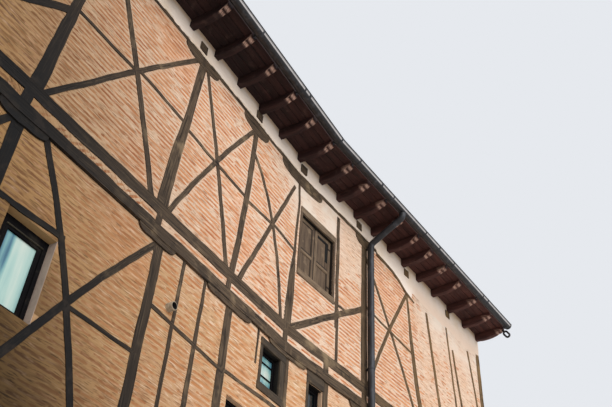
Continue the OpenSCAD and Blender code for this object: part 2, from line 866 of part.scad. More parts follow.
// A bracket's lower edge has two carved lobes: where each curve starts and ends before the tip
bracket_nose = 30;
small_lobe = [62, 92];
great_lobe = [118, 152, 200];

// The share of the bracket's rise at the end of the great lobe, and at the middle of each curve
lobe_rise = 0.45;
great_lobe_middle = 0.12;
small_lobe_middle = 0.6;

// A bracket's side: level on top, with the double carved nose below
module bracket_2d() {
    tip = -eave_out;
    rise = bracket_h - bracket_tip_h;
    ledge = -bracket_h + rise * lobe_rise;
    polygon(concat(
        [[frame_t, 0], [frame_t, -bracket_h]],
        arc_through([tip + great_lobe[2], -bracket_h],
            [tip + great_lobe[1], -bracket_h + rise * great_lobe_middle], [tip + great_lobe[0], ledge], 4),
        arc_through([tip + small_lobe[1], ledge], [tip + small_lobe[0], -bracket_h + rise * small_lobe_middle],
            [tip + bracket_nose, -bracket_tip_h], 4),
        [[tip, -bracket_tip_h], [tip, 0]]));
}

module bracket(u) {
    translate([u - bracket_w / 2, 0, z_eave]) rotate([90, 0, 90])
        linear_extrude(height = bracket_w) bracket_2d();
}

module from_back() {
    translate([0, depth, 0]) mirror([0, 1, 0]) children();
}

// Brackets at the back butt against the wall
module back_bracket(u) {
    difference() {
        bracket(u);
        across(u, 2 * bracket_w) translate([0, z_eave - bracket_h - over])
            square([frame_t + over, bracket_h + 2 * over]);
    }
}

module eave_brackets() {
    color("sienna") placed() {
        for (u = left_bracket_u) {
            bracket(u);
            from_back() back_bracket(u);
        }
        on_right() for (u = right_bracket_u) {
            bracket(u);
            from_back() back_bracket(u);
        }
    }
}

// Boards on the brackets, with a triangular board at each end under the roof
end_board_t = 25;
board_inset = 1;

module eave_boards() {
    translate([0, 0, z_eave]) linear_extrude(height = soffit_t) {
        bent_2d(-left_len, right_len + verge_out, -eave_out, 0);
        bent_2d(-left_len + party_t, right_len, -board_inset, frame_t);
    }
}

module back_eave_boards() {
    translate([0, 0, z_eave]) linear_extrude(height = soffit_t) {
        bent_2d(-left_len, right_len + verge_out, depth, depth + eave_out);
        bent_2d(-left_len + party_t, right_len, depth - frame_t, depth + board_inset);
    }
}

module eave_end(u, y1) {
    y0 = -eave_out + board_inset;
    z0 = z_roof - board_inset;
    across(u, end_board_t) polygon([[y0, z0], [y1, z0], [y1, roof_under(y1)], [y0, roof_under(y0)]]);
}

module eave_end_left() {
    eave_end(-left_len + board_inset + end_board_t / 2, -board_inset);
}

module eave_end_right() {
    eave_end(right_len - board_inset - end_board_t / 2, frame_t - board_inset);
}

module soffit() {
    color("sienna") placed() {
        eave_boards();
        eave_end_left();
        on_right() eave_end_right();
        back_eave_boards();
        from_back() eave_end_left();
        on_right() from_back() eave_end_right();
    }
}

// The gutter is a half round channel with a rolled lip, along both wings
gutter_y = -eave_out - gutter_gap - gutter_r;
gutter_z = z_eave;
gutter_steps = 12;
bead_steps = 7;
bead_from = -50;
bead_to = 230;
strap_t = 4;
strap_w = 30;
strap_drop = 10;
gutter_end_out = 2;

// The gutter ends just past the strap of the last bracket
gutter_right = right_bracket_last + strap_w / 2 + 5;

function gutter_outline() = shifted(concat(
    arc(gutter_r, 180, 360, gutter_steps),
    arc(gutter_r - gutter_t, 360, 180, gutter_steps),
    shifted(arc(gutter_bead_r, bead_from, bead_to, bead_steps),
        [-gutter_r - gutter_bead_r / 2 + gutter_t, gutter_bead_r * 0.8])),
    [gutter_y, gutter_z]);

module half_round_2d(r) {
    polygon(shifted(arc(r, 180, 360, gutter_steps), [gutter_y, gutter_z]));
}

module across(u, w) {
    translate([u - w / 2, 0, 0]) rotate([90, 0, 90]) linear_extrude(height = w) children();
}

// A strap holds the gutter against the tip of a bracket
module gutter_strap(u) {
    across(u, strap_w) {
        difference() {
            half_round_2d(gutter_r + strap_t);
            half_round_2d(gutter_r - gutter_t / 2);
        }
        translate([gutter_y + gutter_r - gutter_t / 2, gutter_z - 2 * strap_t])
            square([gutter_gap + gutter_t / 2, 2 * strap_t]);
        translate([-eave_out - strap_t, gutter_z - bracket_tip_h + strap_drop])
            square([strap_t, bracket_tip_h - strap_drop]);
    }
}

// The outlet is a short spigot that the downpipe's mouth sleeves over
outlet_r = pipe_r - gutter_t;
outlet_h = 50;
outlet_z = gutter_z - gutter_r;

module gutter_outlet() {
    difference() {
        translate([pipe_u, gutter_y, outlet_z - outlet_h]) cylinder(r = outlet_r, h = outlet_h + gutter_r / 2);
        across(pipe_u, 4 * gutter_r) half_round_2d(gutter_r - gutter_t / 2);
    }
}

module gutter() {
    color("slategray") placed() difference() {
        union() {
            bent_run(gutter_outline(), -left_len, gutter_right);
            across(-left_len, gutter_t) half_round_2d(gutter_r + gutter_end_out);
            for (k = [0 : 2 : left_bracket_n]) gutter_strap(left_bracket_u[k]);
            on_right() {
                across(gutter_right, gutter_t) half_round_2d(gutter_r + gutter_end_out);
                for (i = [0 : 2 : right_bracket_n]) gutter_strap(right_bracket_u[i]);
                gutter_outlet();
            }
        }
        on_right() translate([pipe_u, gutter_y, outlet_z - outlet_h - over])
            cylinder(r = outlet_r - gutter_t, h = outlet_h + over + gutter_r);
    }
}

// The downpipe leaves the gutter, swings back to the wall and runs down to the ground
pipe_y = -pipe_gap - pipe_r;
swan_h = 330;
knee_drop = 40;
pipe_sides = 16;
elbow_r = 90;
mouth_gap = 2;

// The collars clamp the pipe to the wall
collar_z = [600, ground_h - 800, z_lower + 1250, z_upper + 226, z_plate - 190];
collar_t = 8;
collar_h = 36;
lug_w = 28;

// Points of a rounded corner at b, on the way from a to c
function elbow(a, b, c, r, n = 4) =
    let (p = unit(a - b), q = unit(c - b), half = acos(p * q) / 2, back = r / tan(half),
        middle = b + unit(p + q) * r / sin(half), from = b + p * back - middle, to = b + q * back - middle)
    [for (i = [0 : n]) let (f = i / n, v = mix(from, to, f)) middle + unit(v) * r];

// A tube of radius r and wall t along points of depth and height, with rings square to the path
module tube(path, r, t) {
    n = pipe_sides;
    m = len(path);
    angles = [for (i = [0 : n - 1]) i * 360 / n];
    rings = concat([for (i = [0 : m - 1]) [i, r]], [for (i = [m - 1 : -1 : 0]) [i, r - t]]);
    k = len(rings);
    polyhedron(
        points = [for (g = rings, a = angles)
            let (p = path[g[0]] + side_of(path, g[0]) * g[1] * sin(a)) [g[1] * cos(a), p[0], p[1]]],
        faces = [for (j = [0 : k - 1], i = [0 : n - 1])
            let (a = j * n, b = ((j + 1) % k) * n, i2 = (i + 1) % n) [a + i, a + i2, b + i2, b + i]]);
}

module downpipe() {
    top = [gutter_y, outlet_z - mouth_gap - gutter_t];
    knee = [gutter_y, outlet_z - outlet_h - knee_drop];
    heel = [pipe_y, knee[1] - swan_h];
    foot = [pipe_y, 0];
    color("slategray") placed() on_right() translate([pipe_u, 0, 0]) {
        tube(concat([top], elbow(top, knee, heel, elbow_r), elbow(knee, heel, foot, elbow_r), [foot]),
            pipe_r, gutter_t);
        for (z = collar_z) translate([0, pipe_y, z]) difference() {
            union() {
                cylinder(r = pipe_r + collar_t, h = collar_h);
                translate([-lug_w / 2, 0, (collar_h - lug_w) / 2]) cube([lug_w, -pipe_y, lug_w]);
            }
            translate([0, 0, -over]) cylinder(r = pipe_r - gutter_t / 2, h = collar_h + 2 * over);
        }
    }
}

// The shuttered window: a frame and two framed leaves with sunk panels
shutter_frame_out = 6;

module shutter_frame() {
    color("dimgray") placed() on_right() wall_piece(-shutter_frame_out, brick_in) difference() {
        shutter_frame_2d();
        box_2d(shutter_u, shutter_right, shutter_bottom, shutter_top);
    }
}

leaf_gap = 4;
leaf_w = (shutter_w - 3 * leaf_gap) / 2;
stile_w = 70;
top_rail_w = 80;
bottom_rail_w = 90;
lock_rail_w = 70;
lock_share = 0.4;
panel_depth = 16;
hinge_t = 5;
hinge_h = 30;
hinge_share = 0.16;

module leaf(u) {
    lock = shutter_bottom + lock_share * shutter_h;
    difference() {
        wall_piece(shutter_set, shutter_set + leaf_t)
            box_2d(u, u + leaf_w, shutter_bottom + leaf_gap, shutter_top - leaf_gap);
        wall_piece(shutter_set - over, shutter_set + panel_depth) {
            box_2d(u + stile_w, u + leaf_w - stile_w, shutter_bottom + bottom_rail_w, lock - lock_rail_w / 2);
            box_2d(u + stile_w, u + leaf_w - stile_w, lock + lock_rail_w / 2, shutter_top - top_rail_w);
        }
    }
}

// Two iron plates, from the jamb at u to the middle of the leaf's stile
module leaf_hinges(u, toward) {
    for (z = [shutter_bottom + hinge_share * shutter_h, shutter_top - hinge_share * shutter_h])
        wall_piece(shutter_set - hinge_t, shutter_set + hinge_t)
            box_2d(min(u, u + toward * stile_w / 2), max(u, u + toward * stile_w / 2), z, z + hinge_h);
}

module left_shutter() {
    color("gray") placed() on_right() {
        leaf(shutter_u + leaf_gap);
        leaf_hinges(shutter_u, 1);
    }
}

module right_shutter() {
    color("gray") placed() on_right() {
        leaf(shutter_u + 2 * leaf_gap + leaf_w);
        leaf_hinges(shutter_right, -1);
    }
}

// A window's lights: one, or two beside a middle post, each with its left and right edge
function lights(w) =
    let (n = w[1] - w[0] > one_light_w ? 2 : 1, pitch = (w[1] - w[0] - sash_w) / n)
    [for (i = [0 : n - 1]) [w[0] + sash_w + i * pitch, w[0] + (i + 1) * pitch]];

module lights_2d(w) {
    for (l = lights(w)) box_2d(l[0], l[1], w[2] + sash_w, w[3] - sash_w);
}

// A fixed sash that fills an opening from the depth set inwards
module sash(w, set) {
    wall_piece(set, set + sash_t) difference() {
        windows_2d([w]);
        lights_2d(w);
    }
}

module pane(w, set) {
    wall_piece(set + (sash_t - glass_t) / 2, set + (sash_t + glass_t) / 2) lights_2d(w);
}

// Glazing bars across the window beside the bend, as shares of its light
bar_upright = 0.62;
bar_levels = [0.34, 0.68];

module glazing_bars(w, set) {
    light = lights(w)[0];
    u = mix(light[0], light[1], bar_upright);
    wall_piece(set, set + (sash_t - glass_t) / 2) {
        box_2d(u - bar_w / 2, u + bar_w / 2, w[2] + sash_w / 2, w[3] - sash_w / 2);
        for (f = bar_levels) translate([0, mix(w[2] + sash_w, w[3] - sash_w, f)])
            box_2d(light[0] - sash_w / 2, light[1] + sash_w / 2, -bar_w / 2, bar_w / 2);
    }
}

// Depth of the sashes at the back
rear_set = depth - window_set - sash_t;
function all_rear_windows(right) = concat(rear_ground_windows(right), rear_upper_windows(right));

module front_windows() {
    color("black") placed() {
        for (w = left_windows) sash(w, window_set);
        glazing_bars(window_2, window_set);
        for (w = ground_windows(false)) sash(w, ground_set);
        on_right() {
            for (w = right_windows) sash(w, window_set);
            for (w = ground_windows(true)) sash(w, ground_set);
        }
    }
}

module window_glass() {
    color("lightblue") placed() {
        for (w = left_windows) pane(w, window_set);
        for (w = ground_windows(false)) pane(w, ground_set);
        for (w = all_rear_windows(false)) pane(w, rear_set);
        on_right() {
            for (w = right_windows) pane(w, window_set);
            for (w = ground_windows(true)) pane(w, ground_set);
            for (w = all_rear_windows(true)) pane(w, rear_set);
        }
    }
}

module rear_windows() {
    color("black") placed() {
        for (w = all_rear_windows(false)) sash(w, rear_set);
        on_right() for (w = all_rear_windows(true)) sash(w, rear_set);
    }
}

// A plain stub of pipe lets the wall breathe
vent_u = q2_u + 325;
vent_z = z_lower + 2054;
vent_r = 50;
vent_t = 6;
vent_out = 90;
vent_floor = 8;

module vent_pipe() {
    color("dimgray") placed() translate([vent_u, brick_set, vent_z]) rotate([90, 0, 0]) difference() {
        cylinder(r = vent_r, h = vent_out);
        translate([0, 0, vent_floor]) cylinder(r = vent_r - vent_t, h = vent_out);
    }
}

// An iron ring hangs from the last eave bracket
ring_r = 64;
ring_bar_r = 11;
ring_peg_h = 30;

module iron_ring() {
    color("dimgray") placed() on_right()
        translate([right_bracket_last, -eave_out + bracket_nose / 2, z_eave - bracket_tip_h - ring_peg_h]) {
            cylinder(r = ring_bar_r, h = ring_peg_h);
            translate([0, 0, -ring_r]) rotate([0, 90, 0]) rotate_extrude()
                translate([ring_r, 0]) circle(r = ring_bar_r);
        }
}

// Regular framing for the unseen walls, between z0 and z0 + h.
// The crossed braces of a bay start this far from its posts' middles.
brace_foot = 40;

module plain_frame_2d(a, b, n, z0, h, post_w) {
    pitch = (b - a - post_w) / n;
    middle = z0 + h / 2;
    lean = pitch / 2 - brace_foot;
    intersection() {
        for (i = [0 : n - 1]) {
            u = a + post_w / 2 + (i + 0.5) * pitch;
            rail_2d([u - pitch / 2, middle], [u + pitch / 2, middle], rail_w);
            for (s = [-1, 1]) rail_2d([u - s * lean, z0 - over], [u + s * lean, z0 + h + over], lower_brace_w);
        }
        box_2d(a, b, z0, z0 + h);
    }
    for (i = [0 : n]) box_2d(a + i * pitch, a + i * pitch + post_w, z0, z0 + h);
}

// The free gable, framed like the front: u runs in from the front face
gable_a = frame_t;
gable_b = depth - frame_t;
gable_bays = 4;
king_post_w = 140;
strut_reach = 900;

module gable_side() {
    on_right() translate([right_len, 0, 0]) rotate([90, 0, 90]) children();
}

module gable_beams_2d() {
    box_2d(gable_a, gable_b, z_sill, z_lower);
    box_2d(gable_a, gable_b, z_beam, z_band);
    box_2d(gable_a, gable_b, z_upper_sill, z_upper);
    box_2d(gable_a, gable_b, z_plate, z_eave_band);
}

module gable_timber_2d() {
    gable_beams_2d();
    plain_frame_2d(gable_a, gable_b, gable_bays, z_lower, lower_h, lower_post_w);
    plain_frame_2d(gable_a, gable_b, gable_bays, z_upper, upper_h, lower_post_w);
    intersection() {
        union() {
            box_2d((depth - king_post_w) / 2, (depth + king_post_w) / 2, z_eave_band, z_ridge);
            for (y = [gable_a + strut_reach, gable_b - strut_reach])
                rail_2d([depth / 2, z_eave_band], [y, roof_under(y)], lower_brace_w);
        }
        gable_top_2d();
    }
}

module gable_top_2d() {
    polygon([[gable_a, z_eave_band], [gable_b, z_eave_band], [gable_b, roof_under(gable_b)],
        [depth / 2, roof_under(depth / 2)], [gable_a, roof_under(gable_a)]]);
}

module gable_frame() {
    color("dimgray") placed() gable_side() translate([0, 0, -frame_t])
        linear_extrude(height = frame_t) gable_timber_2d();
}

module gable_brick() {
    color("sandybrown") placed() gable_side() translate([0, 0, -brick_in])
        linear_extrude(height = brick_t) difference() {
            union() {
                box_2d(gable_a, gable_b, z_lower, z_eave_band);
                gable_top_2d();
            }
            gable_timber_2d();
            ridge_hole_2d();
        }
}

module ridge_hole_2d() {
    box_2d((depth - ridge_w) / 2, (depth + ridge_w) / 2, ridge_bottom, z_ridge);
}

// The back wall repeats the storeys plainly
module back_side(right) {
    if (right) on_right() translate([0, depth, 0]) children();
    else translate([0, depth, 0]) children();
}

back_left_end = -left_len + party_t;
back_bays = 5;

// Half the width of the post at the bend, and where the fields end against it
bend_post_half = lower_post_w / 2;
back_reach = (depth - frame_t) * tan(half_bend) - bend_post_half;

module back_timber_2d(right) {
    a = right ? -back_reach : back_left_end;
    b = right ? right_len : back_reach;
    difference() {
        union() {
            for (storey = [[z_lower, lower_h], [z_upper, upper_h]])
                plain_frame_2d(right ? a - lower_post_w : a, right ? b : b + lower_post_w, back_bays, storey[0],
                    storey[1], lower_post_w);
            box_2d(a, b, z_sill, z_lower);
            box_2d(a, b, z_beam, z_band);
            box_2d(a, b, z_upper_sill, z_upper);
            box_2d(a, b, z_plate, z_eave_band);
        }
        if (right) box_2d(a - 2 * lower_post_w, a, z_sill - over, z_eave_band + over);
        else box_2d(b, b + 2 * lower_post_w, z_sill - over, z_eave_band + over);
    }
}

module back_field_2d(right, z0, z1) {
    box_2d(right ? -back_reach : back_left_end, right ? right_len - lower_post_w / 2 : back_reach, z0, z1);
}

module back_holes_2d(right) {
    windows_2d(rear_upper_windows(right));
}

module back_frame() {
    color("dimgray") placed() for (right = [false, true]) back_side(right)
        wall_piece(-frame_t, 0) difference() {
            back_timber_2d(right);
            back_holes_2d(right);
        }
}

// The post at the bend follows both wings
module back_post() {
    color("dimgray") placed() translate([0, 0, z_sill]) linear_extrude(height = z_eave_band - z_sill)
        polygon([[back_reach, depth - frame_t], mitre(depth - frame_t), turn(-back_reach, depth - frame_t),
            turn(-back_reach, depth), mitre(depth), [back_reach, depth]]);
}

module back_brick() {
    color("sandybrown") placed() {
        for (right = [false, true]) back_side(right) wall_piece(-brick_in, -brick_set) difference() {
            union() {
                back_field_2d(right, z_lower, z_beam);
                back_field_2d(right, z_band, z_upper_sill);
                back_field_2d(right, z_upper, z_plate);
            }
            back_timber_2d(right);
            back_holes_2d(right);
        }
        difference() {
            bent_slab(back_left_end, right_len, depth - frame_t, depth, z_eave_band, z_eave);
            tie_beam_row(tie_left);
            on_right() tie_beam_row(tie_right);
        }
    }
}

// Floors of boards on joists
module floor_boards(y0, y1, z) {
    bent_slab(-left_len + party_t, right_len - frame_t, y0, y1, z, z + board_t);
}

// Evenly spaced joists from u0 to u1
module joist_row(u0, u1, y0, y1, z, h) {
    n = ceil((u1 - u0) / joist_step);
    for (i = [0 : n - 1]) translate([mix(u0, u1, (i + 0.5) / n) - joist_w / 2, y0, z])
        cube([joist_w, y1 - y0, h]);
}

module joists(y0, y1, z, h) {
    joist_row(-left_len + party_t, 0, y0, y1, z, h);
    on_right() joist_row(0, right_len - frame_t, y0, y1, z, h);
}

module first_floor() {
    color("peru") placed() {
        joists(frame_t, depth - frame_t, ground_h, joist_h);
        floor_boards(frame_t, depth - frame_t, ground_h + joist_h);
    }
}

module second_floor() {
    color("peru") placed() {
        joists(brick_in, depth - brick_in, z_band, band_h);
        floor_boards(frame_t, depth - frame_t, z_upper_sill);
    }
}

// Roof slopes on the ridge beam and the eaves
roof_rise = roof_t / cos(roof_slope);
slope_outline = [[-eave_out, z_roof], [depth / 2, z_ridge], [depth / 2, z_ridge + roof_rise],
    [-eave_out, z_roof + roof_rise]];
back_slope_outline = [for (i = [3 : -1 : 0]) [depth - slope_outline[i][0], slope_outline[i][1]]];

// One slope of both wings: its outline at the left end, at the bend and at the right end
module slope(outline) {
    n = len(outline);
    right_end = right_len + verge_out;
    polyhedron(
        points = concat(
            [for (p = outline) [-left_len, p[0], p[1]]],
            [for (p = outline) [mitre(p[0])[0], p[0], p[1]]],
            [for (p = outline) [turn(right_end, p[0])[0], turn(right_end, p[0])[1], p[1]]]),
        faces = concat(
            [[for (i = [0 : n - 1]) i]],
            [[for (i = [n - 1 : -1 : 0]) 2 * n + i]],
            [for (k = [0, n], i = [0 : n - 1]) [k + i, k + n + i, k + n + (i + 1) % n, k + (i + 1) % n]]));
}

module front_roof() {
    color("indianred") placed() slope(slope_outline);
}

module back_roof() {
    color("indianred") placed() slope(back_slope_outline);
}

ridge_bottom = roof_under(depth / 2 - ridge_w / 2) - ridge_h;

module ridge_beam() {
    color("sienna") placed() bent_slab(-left_len + party_t, right_len - frame_t, depth / 2 - ridge_w / 2,
        depth / 2 + ridge_w / 2, ridge_bottom, ridge_bottom + ridge_h);
}

// A timber frame lines the doorway, and the door stands open inside
door_set = 80;
door_frame_t = 140;
door_frame_w = 70;
door_gap = 8;
door_hinge_h = 90;
door_hinge_share = [0.15, 0.5, 0.85];

module door_frame() {
    color("dimgray") placed() wall_piece(door_set, door_set + door_frame_t) difference() {
        box_2d(door_u, door_u + door_w, 0, door_h);
        box_2d(door_u + door_frame_w, door_u + door_w - door_frame_w, -1, door_h - door_frame_w);
    }
}

module door() {
    panel_w = door_w - 2 * (door_frame_w + door_gap);
    panel_h = door_h - door_frame_w - 2 * door_gap;
    color("saddlebrown") placed() translate([door_u + door_frame_w - door_t, door_set + door_frame_t, 0]) {
        translate([0, leaf_gap, door_gap]) cube([door_t, panel_w, panel_h]);
        for (f = door_hinge_share) translate([door_t / 4, 0, f * panel_h])
            cube([door_t / 2, 6 * leaf_gap, door_hinge_h]);
    }
}

front_ground_wall();
back_ground_wall();
gable_ground_wall();
party_wall();
left_lower_frame();
right_lower_frame();
lower_brick();
floor_beam();
upper_sill();
band_brick();
left_posts();
left_braces();
right_posts();
right_braces();
left_brick();
right_brick();
bolsters();
wall_plate();
eave_band();
tie_beams();
eave_brackets();
soffit();
gutter();
downpipe();
shutter_frame();
left_shutter();
right_shutter();
front_windows();
rear_windows();
window_glass();
vent_pipe();
iron_ring();
gable_frame();
gable_brick();
back_frame();
back_post();
back_brick();
first_floor();
second_floor();
front_roof();
back_roof();
ridge_beam();
door_frame();
door();
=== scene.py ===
"""Dresses a half timbered house of two wings that meet at a slight bend.

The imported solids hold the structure. Here the infill gets its thin bricks in wide smeared lime
joints, the timbers get hewn faces, and the eave, gutter, downpipe, shutters, windows and roof get
their real surfaces. Wall coordinates are u along a wall, y inwards from its timber face and z up.
"""

import logging
import math
from dataclasses import dataclass, field
from enum import Enum
from typing import Callable, Iterable, Sequence

import bmesh
import bpy
import numpy as np
from bmesh.types import BMesh, BMEdge, BMFace, BMVert
from mathutils import Matrix, Vector, noise
from mathutils.bvhtree import BVHTree


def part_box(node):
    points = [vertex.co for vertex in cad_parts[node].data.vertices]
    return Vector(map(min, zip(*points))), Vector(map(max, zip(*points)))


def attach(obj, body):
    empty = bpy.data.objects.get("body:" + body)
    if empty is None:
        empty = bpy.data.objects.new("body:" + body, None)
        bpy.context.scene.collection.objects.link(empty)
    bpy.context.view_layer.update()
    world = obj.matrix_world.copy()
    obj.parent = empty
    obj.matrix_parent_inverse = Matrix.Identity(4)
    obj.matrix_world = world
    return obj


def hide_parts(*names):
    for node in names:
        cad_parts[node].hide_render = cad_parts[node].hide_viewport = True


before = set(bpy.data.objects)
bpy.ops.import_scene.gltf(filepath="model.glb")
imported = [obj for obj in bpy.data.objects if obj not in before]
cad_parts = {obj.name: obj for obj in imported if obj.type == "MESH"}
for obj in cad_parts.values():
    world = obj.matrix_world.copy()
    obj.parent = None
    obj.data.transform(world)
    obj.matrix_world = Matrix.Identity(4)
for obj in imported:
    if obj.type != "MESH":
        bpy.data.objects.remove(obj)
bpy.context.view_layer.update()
LOG = logging.getLogger("house")
ROOT = "root"
WINGS = (False, True)
"""Whether a wing is the right one."""
UPRIGHT = Matrix(((0, 0, 1, 0), (1, 0, 0, 0), (0, 1, 0, 0), (0, 0, 0, 1)))
"""Turns an outline of depth and height so that it faces along a wing."""

Spot = tuple[float, float]
Point = Sequence[float]


def lowest(node: str) -> float:
    """The height of a node's lowest point."""
    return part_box(node)[0].z


def highest(node: str) -> float:
    """The height of a node's highest point."""
    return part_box(node)[1].z


@dataclass(frozen=True)
class House:
    """Sizes that the pieces share, in metres."""

    bend: float = math.radians(5.5)
    face_y: float = -0.225
    left_len: float = 6.62
    right_len: float = 6.32
    depth: float = 8.0
    party: float = 0.25
    frame_t: float = 0.15
    eave_out: float = 0.63
    verge: float = 0.02
    gutter_right: float = 6.2775
    roof_slope: float = math.radians(17)
    roof_t: float = 0.19
    soffit_t: float = 0.025
    z_lower: float = lowest("lower_brick")
    z_beam: float = lowest("floor_beam")
    z_band: float = highest("floor_beam")
    z_upper_sill: float = highest("band_brick")
    z_upper: float = lowest("left_brick")
    z_plate: float = highest("left_brick")
    z_eave_band: float = highest("wall_plate")
    z_eave: float = highest("eave_band")

    @property
    def z_roof(self) -> float:
        """Underside of the roof at the eave's edge."""
        return self.z_eave + self.soffit_t

    @property
    def mitre(self) -> float:
        """How far the bend moves sideways for each metre of depth."""
        return math.tan(self.bend / 2)

    def out(self, y: float) -> float:
        """How far a depth lies inside the nearer eave's edge."""
        return self.eave_out + min(y, self.depth - y)

    def roof_under(self, y: float) -> float:
        """Height of the roof's underside at the depth y."""
        return self.z_roof + self.out(y) * math.tan(self.roof_slope)

    def flipped(self, outline: Sequence[Spot], back: bool) -> list[Spot]:
        """An outline of depth and height, turned over for the back of the house."""
        return [(self.depth - y, z) for y, z in reversed(outline)] if back else list(outline)


HOUSE = House()


class Side(Enum):
    """The walls, as a visitor names them."""

    LEFT_FRONT = "left_front"
    RIGHT_FRONT = "right_front"
    GABLE = "gable"
    RIGHT_BACK = "right_back"
    LEFT_BACK = "left_back"


@dataclass(frozen=True)
class Wall:
    """One wall's place, with its matrix from wall coordinates to the frame."""

    side: Side
    matrix: Matrix
    u0: float
    u1: float

    def at(self, u: float, y: float, z: float) -> Vector:
        """The frame's point for a point in wall coordinates."""
        return self.matrix @ Vector((u, y, z))

    def way(self, *direction: float) -> Vector:
        """The frame's direction for a direction in wall coordinates."""
        return self.matrix.to_3x3() @ Vector(direction)

    def local(self, point: Vector) -> Vector:
        """The wall coordinates of a point in the frame."""
        return self.matrix.inverted() @ point

    @property
    def outward(self) -> Vector:
        """The direction that the wall faces."""
        return self.way(0, -1, 0)


def turned(side_turn: float, along: float, inwards: float, right: bool) -> Matrix:
    """The matrix of a wall that starts at a point of a wing.

    Args:
        side_turn: Turn of the wall about Z within its wing, in radians.
        along: Where the wall starts along the wing.
        inwards: How deep the wall starts in the house.
        right: Whether the wall belongs to the right wing.

    Returns:
        The matrix from wall coordinates to the frame.
    """
    turn = Matrix.Rotation(-HOUSE.bend if right else 0.0, 4, "Z")
    place = Matrix.Translation((along, inwards, 0))
    return Matrix.Translation((0, HOUSE.face_y, 0)) @ turn @ place @ Matrix.Rotation(side_turn, 4, "Z")


BACK_REACH = HOUSE.depth * HOUSE.mitre
INNER_LEFT = HOUSE.left_len - HOUSE.party
WALLS = {
    side: Wall(side, turned(*place), u0, u1)
    for side, place, u0, u1 in (
        (Side.LEFT_FRONT, (0, 0, 0, False), -INNER_LEFT, 0),
        (Side.RIGHT_FRONT, (0, 0, 0, True), 0, HOUSE.right_len),
        (Side.GABLE, (math.pi / 2, HOUSE.right_len, 0, True), HOUSE.frame_t, HOUSE.depth - HOUSE.frame_t),
        (Side.RIGHT_BACK, (math.pi, 0, HOUSE.depth, True), -HOUSE.right_len, BACK_REACH),
        (Side.LEFT_BACK, (math.pi, 0, HOUSE.depth, False), -BACK_REACH, INNER_LEFT),
    )
}
FRONT = (Side.LEFT_FRONT, Side.RIGHT_FRONT)
BACK = (Side.RIGHT_BACK, Side.LEFT_BACK)


def wing(right: bool) -> Matrix:
    """The matrix of a wing's own coordinates."""
    return WALLS[FRONT[right]].matrix


def in_wing(point: Vector) -> Vector:
    """A point of the frame in the coordinates of the wing that it lies in."""
    return wing(point.x > 0).inverted() @ point


@dataclass(frozen=True)
class Opening:
    """A window's place in wall coordinates."""

    u0: float
    u1: float
    z0: float
    z1: float

    def gap(self, u: float, z: float) -> float:
        """How far a point lies outside the opening."""
        return math.hypot(max(self.u0 - u, u - self.u1, 0.0), max(self.z0 - z, z - self.z1, 0.0))

    def inset(self, left: float, right: float, bottom: float, top: float) -> "Opening":
        """The opening, made smaller at each side."""
        return Opening(self.u0 + left, self.u1 - right, self.z0 + bottom, self.z1 - top)

    def holds(self, u: float, z: float, slack_u: float, slack_z: float) -> bool:
        """Whether a point lies in the opening, or as near to it as the slack says."""
        return self.u0 - slack_u < u < self.u1 + slack_u and self.z0 - slack_z < z < self.z1 + slack_z

    def snapped(self, u: float, z: float, reach_u: float, reach_z: float) -> Spot:
        """Moves a point that lies close to the opening's edge onto that edge.

        Args:
            u: Place along the wall.
            z: Height.
            reach_u: How close is close, along the wall.
            reach_z: How close is close, in height.

        Returns:
            The point along the wall and in height.
        """
        near_u = min((self.u0, self.u1), key=lambda edge: abs(edge - u))
        near_z = min((self.z0, self.z1), key=lambda edge: abs(edge - z))
        if self.holds(u, z, reach_u, reach_z):
            u = near_u if abs(near_u - u) < reach_u else u
            z = near_z if abs(near_z - z) < reach_z else z
        return u, z


def opening(u0: float, u1: float, z0: float, z1: float, floor: float = HOUSE.z_lower) -> Opening:
    """An opening whose heights are counted from a storey's foot."""
    return Opening(u0, u1, floor + z0, floor + z1)


def rear_openings(places: Sequence[float]) -> list[Opening]:
    """Windows of the back wall's two upper storeys, at places along the wing."""
    return [opening(-u - 1.0, -u, 0.85, 2.05, z) for u in places for z in (HOUSE.z_lower, HOUSE.z_upper)]


BEDROOM = opening(-4.48, -3.895, 0.943, 1.83)
STAIR = opening(-0.655, -0.121, 1.991, 2.597)
STAIR_FRAME = opening(-0.592, -0.012, 1.955, 2.662)
PANTRY = opening(-1.145, -0.6, 0.85, 1.612)
NARROW = opening(0.519, 0.844, 1.991, 2.563)
CHAMBER = opening(4.3, 5.1, 0.9, 2.0)
SHUTTERED = opening(0.14, 0.99, 1.0, 2.1, HOUSE.z_upper)
OPENINGS = {
    Side.LEFT_FRONT: [BEDROOM, STAIR_FRAME, PANTRY],
    Side.RIGHT_FRONT: [NARROW, CHAMBER, SHUTTERED],
    Side.GABLE: [],
    Side.RIGHT_BACK: rear_openings((1.0, 3.6)),
    Side.LEFT_BACK: rear_openings((-5.2, -2.6)),
}


def mix(a: float, b: float, share: float) -> float:
    """The value at a share of the way from a to b."""
    return a + (b - a) * share


def ease(low: float, high: float, value: float) -> float:
    """A smooth step from 0 at low to 1 at high."""
    share = min(max((value - low) / (high - low), 0.0), 1.0)
    return share * share * (3 - 2 * share)


def ripple(point: Point, size: float, seed: float) -> float:
    """Smooth noise from about -1 to 1 with waves of a size in metres."""
    return noise.noise(Vector(point) / size + Vector((seed * 17.3, seed * 5.7, seed)))


def shade(code: str) -> tuple[float, float, float, float]:
    """The linear colour of a hex code such as d9a679."""
    parts = [int(code[i:i + 2], 16) / 255 for i in (0, 2, 4)]
    return (*[c / 12.92 if c <= 0.04045 else ((c + 0.055) / 1.055) ** 2.4 for c in parts], 1.0)


# Shader maths

